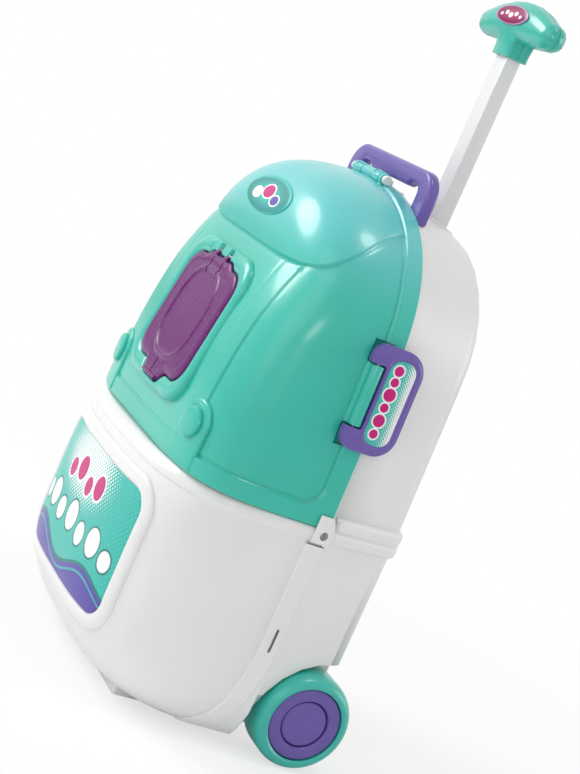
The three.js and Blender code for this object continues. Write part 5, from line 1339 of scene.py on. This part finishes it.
class CASE_OT_cad_pieces(CaseStep, bpy.types.Operator):
    """Softened copies of the smaller CAD nodes"""
    bl_idname = "case.cad_pieces"
    bl_label = "Small pieces"

    def execute(self, context):
        softened("front_foot", *CASE_GREY, 0.6)
        softened("rod_collar", *CASE_GREY, 0.5)
        lower = softened("lower_rear_shell", *CASE_WHITE)
        smoothed(cut_out(lower, *[CASE_OT_seam_strips.slot(sign) for sign in SIDES]), SOFT_ANGLE)
        upper = softened("upper_rear_shell", *CASE_WHITE)
        arm_ends = [plate("arm_end", rounded(6, 395.9, 408, 1, 3, 3) + (16 * sign, 0),
                          frame_at((0, 0, 0), X_AXIS, Z_AXIS), -14, 2.5) for sign in SIDES]
        smoothed(cut_out(upper, *arm_ends), SOFT_ANGLE)
        softened("rod_guide", *CASE_GREY)
        for side in ("right", "left"):
            softened("seam_lug_" + side, *CASE_WHITE, 0.4)
            softened("axle_bush_" + side, *CASE_GREY)
        for node in ("grip_front", "grip_rear"):
            softened(node, "pull_handle", "grip_mint", grip_mint, dissolve=0.2)
        softened("grip_badge", "pull_handle", "grip_badge", grip_print, 0.2)
        softened("pull_rod", "pull_handle", "rod_grey", rod_grey, 0.7, 4)
        softened("rod_stop", "pull_handle", "grey_plastic", soft_grey, 0.4)
        softened("door_pocket", "lid", "lid_mint", inner_mint)
        for body, nodes in frame["record"]["behaviour"]["bodies"].items():
            for node in nodes:
                if node not in STOOD_FOR:
                    softened(node, body, "steel", zinc_steel, 0.15)
        return {"FINISHED"}


# ---------------------------------------------------------------- stage

def floor_paint(name):
    """Matt pale floor that keeps a soft shadow and thins out into the white background."""
    made = Finish(name, Specular_IOR_Level=0.0)
    tone = linear(colours().floor)
    made.set("Base Color", made.mixed(made.noise(300, 2), toned(tone, 0.985), tone))
    made.set("Roughness", 0.95)
    x, y, z = made.axes()
    near = 1 - (((x ** 2) + (y ** 2)) ** 0.5).rising(250, 800)
    seen = Value(made, made.node("ShaderNodeLightPath").outputs["Is Camera Ray"])
    glow = made.node("ShaderNodeEmission", None, {"Color": (1, 1, 1, 1), "Strength": 1.0})
    mix = made.node("ShaderNodeMixShader", None, {
        0: seen * (1 - near * 0.35), 1: made.shader.outputs[0], 2: glow.outputs[0]})
    made.put(made.tree.nodes["Material Output"].inputs["Surface"], mix.outputs[0])
    return made.material


LAMPS = {       # place in metres, size in metres, watts
    "key": ((-1.35, -1.5, 1.45), 1.2, 30.0), "fill": ((0.8, -2.2, 1.3), 2.0, 10.0),
    "side": ((2.2, -1.1, 0.9), 0.6, 5.0), "rear": ((0.8, 2.4, 0.9), 1.4, 12.0),
    "top": ((0.35, 0.2, 2.6), 0.6, 9.0)}
LIT_POINT = Vector((0, 0, 0.25))
WORLD_LIGHT, WORLD_SEEN = 0.50, 1.0                     # strength as a light, and where it is seen or mirrored

CAMERA_TURN, CAMERA_RISE, CAMERA_LEAN = (math.radians(angle) for angle in (64.01, 8.57, 23.86))
CAMERA_TARGET, CAMERA_DISTANCE = Vector((-0.00461, 0.01985, 0.23221)), 1.32696
CAMERA_LENS = 83.58


class CASE_OT_stage(CaseStep, bpy.types.Operator):
    """Floor, background, lamps and the camera of the photograph"""
    bl_idname = "case.stage"
    bl_label = "Stage"

    @staticmethod
    def background():
        """A white world that is brighter to the eye than as a light."""
        world = bpy.data.worlds.new("background")
        world.use_nodes = True
        tree = world.node_tree
        path = tree.nodes.new("ShaderNodeLightPath")
        seen = path.outputs["Is Camera Ray"]
        for ray in ("Is Glossy Ray", "Is Transmission Ray"):
            either = tree.nodes.new("ShaderNodeMath")
            either.operation = "MAXIMUM"
            tree.links.new(seen, either.inputs[0])
            tree.links.new(path.outputs[ray], either.inputs[1])
            seen = either.outputs[0]
        strength = tree.nodes.new("ShaderNodeMapRange")
        strength.inputs["To Min"].default_value = WORLD_LIGHT
        strength.inputs["To Max"].default_value = WORLD_SEEN
        tree.links.new(seen, strength.inputs["Value"])
        ground = tree.nodes["Background"]
        tree.links.new(strength.outputs[0], ground.inputs["Strength"])
        ground.inputs["Color"].default_value = (1, 1, 1, 1)
        return world

    @staticmethod
    def camera():
        """The photograph's camera, which leans so that the upright case looks tilted."""
        data = bpy.data.cameras.new("photo")
        data.lens, data.sensor_width, data.sensor_fit = CAMERA_LENS, 36, "AUTO"
        data.dof.use_dof = False
        data.clip_end = 100
        back = Vector((math.sin(CAMERA_TURN) * math.cos(CAMERA_RISE), -math.cos(CAMERA_TURN) * math.cos(CAMERA_RISE),
                       math.sin(CAMERA_RISE)))
        level = Vector((math.cos(CAMERA_TURN), math.sin(CAMERA_TURN), 0))
        upward = back.cross(level)
        right = level * math.cos(CAMERA_LEAN) + upward * math.sin(CAMERA_LEAN)
        up = upward * math.cos(CAMERA_LEAN) - level * math.sin(CAMERA_LEAN)
        camera = bpy.data.objects.new("photo", data)
        camera.matrix_world = Matrix.Translation(CAMERA_TARGET + back * CAMERA_DISTANCE) @ Matrix(
            ((right.x, up.x, back.x), (right.y, up.y, back.y), (right.z, up.z, back.z))).to_4x4()
        return camera

    def execute(self, context):
        scene = context.scene
        bpy.ops.object.select_all(action="DESELECT")
        bpy.ops.mesh.primitive_plane_add(size=30)
        floor = context.object
        floor.name = "floor"
        floor.data.materials.append(finish("floor_paint", floor_paint))
        scene.world = self.background()
        for name, (place, size, watts) in LAMPS.items():
            light = bpy.data.lights.new(name, "AREA")
            light.shape, light.size, light.energy = "DISK", size, watts
            lamp = bpy.data.objects.new(name, light)
            lamp.location = place
            lamp.rotation_euler = (LIT_POINT - Vector(place)).to_track_quat("-Z", "Y").to_euler()
            scene.collection.objects.link(lamp)
        scene.camera = self.camera()
        scene.collection.objects.link(scene.camera)
        scene.view_settings.view_transform = "Standard"
        return {"FINISHED"}


class CASE_PT_panel(bpy.types.Panel):
    """The case's sizes, colours and pieces"""
    bl_idname = "CASE_PT_panel"
    bl_label = "Toy doctor case"
    bl_space_type = "VIEW_3D"
    bl_region_type = "UI"
    bl_category = "Case"

    def draw(self, context):
        for group in (context.scene.case_sizes, context.scene.case_colours):
            box = self.layout.box()
            for name in group.bl_rna.properties.keys():
                if name not in ("name", "rna_type"):
                    box.prop(group, name)
        for step in STEPS:
            self.layout.operator(step.bl_idname)


STEPS = (CASE_OT_lid, CASE_OT_door, CASE_OT_bowl, CASE_OT_labels, CASE_OT_wheels, CASE_OT_handle,
         CASE_OT_clips, CASE_OT_seam_strips, CASE_OT_rear_band, CASE_OT_hinge_pin,
         CASE_OT_cad_pieces, CASE_OT_stage)
CLASSES = (CaseSizes, CaseColours) + STEPS + (CASE_PT_panel,)


def register():
    for made in CLASSES:
        bpy.utils.register_class(made)
    bpy.types.Scene.case_sizes = bpy.props.PointerProperty(type=CaseSizes)
    bpy.types.Scene.case_colours = bpy.props.PointerProperty(type=CaseColours)


def unregister():
    del bpy.types.Scene.case_colours
    del bpy.types.Scene.case_sizes
    for made in reversed(CLASSES):
        bpy.utils.unregister_class(made)


def main():
    register()
    for step in STEPS:
        group, name = step.bl_idname.split(".")
        getattr(getattr(bpy.ops, group), name)()


if __name__ == "__main__":
    main()
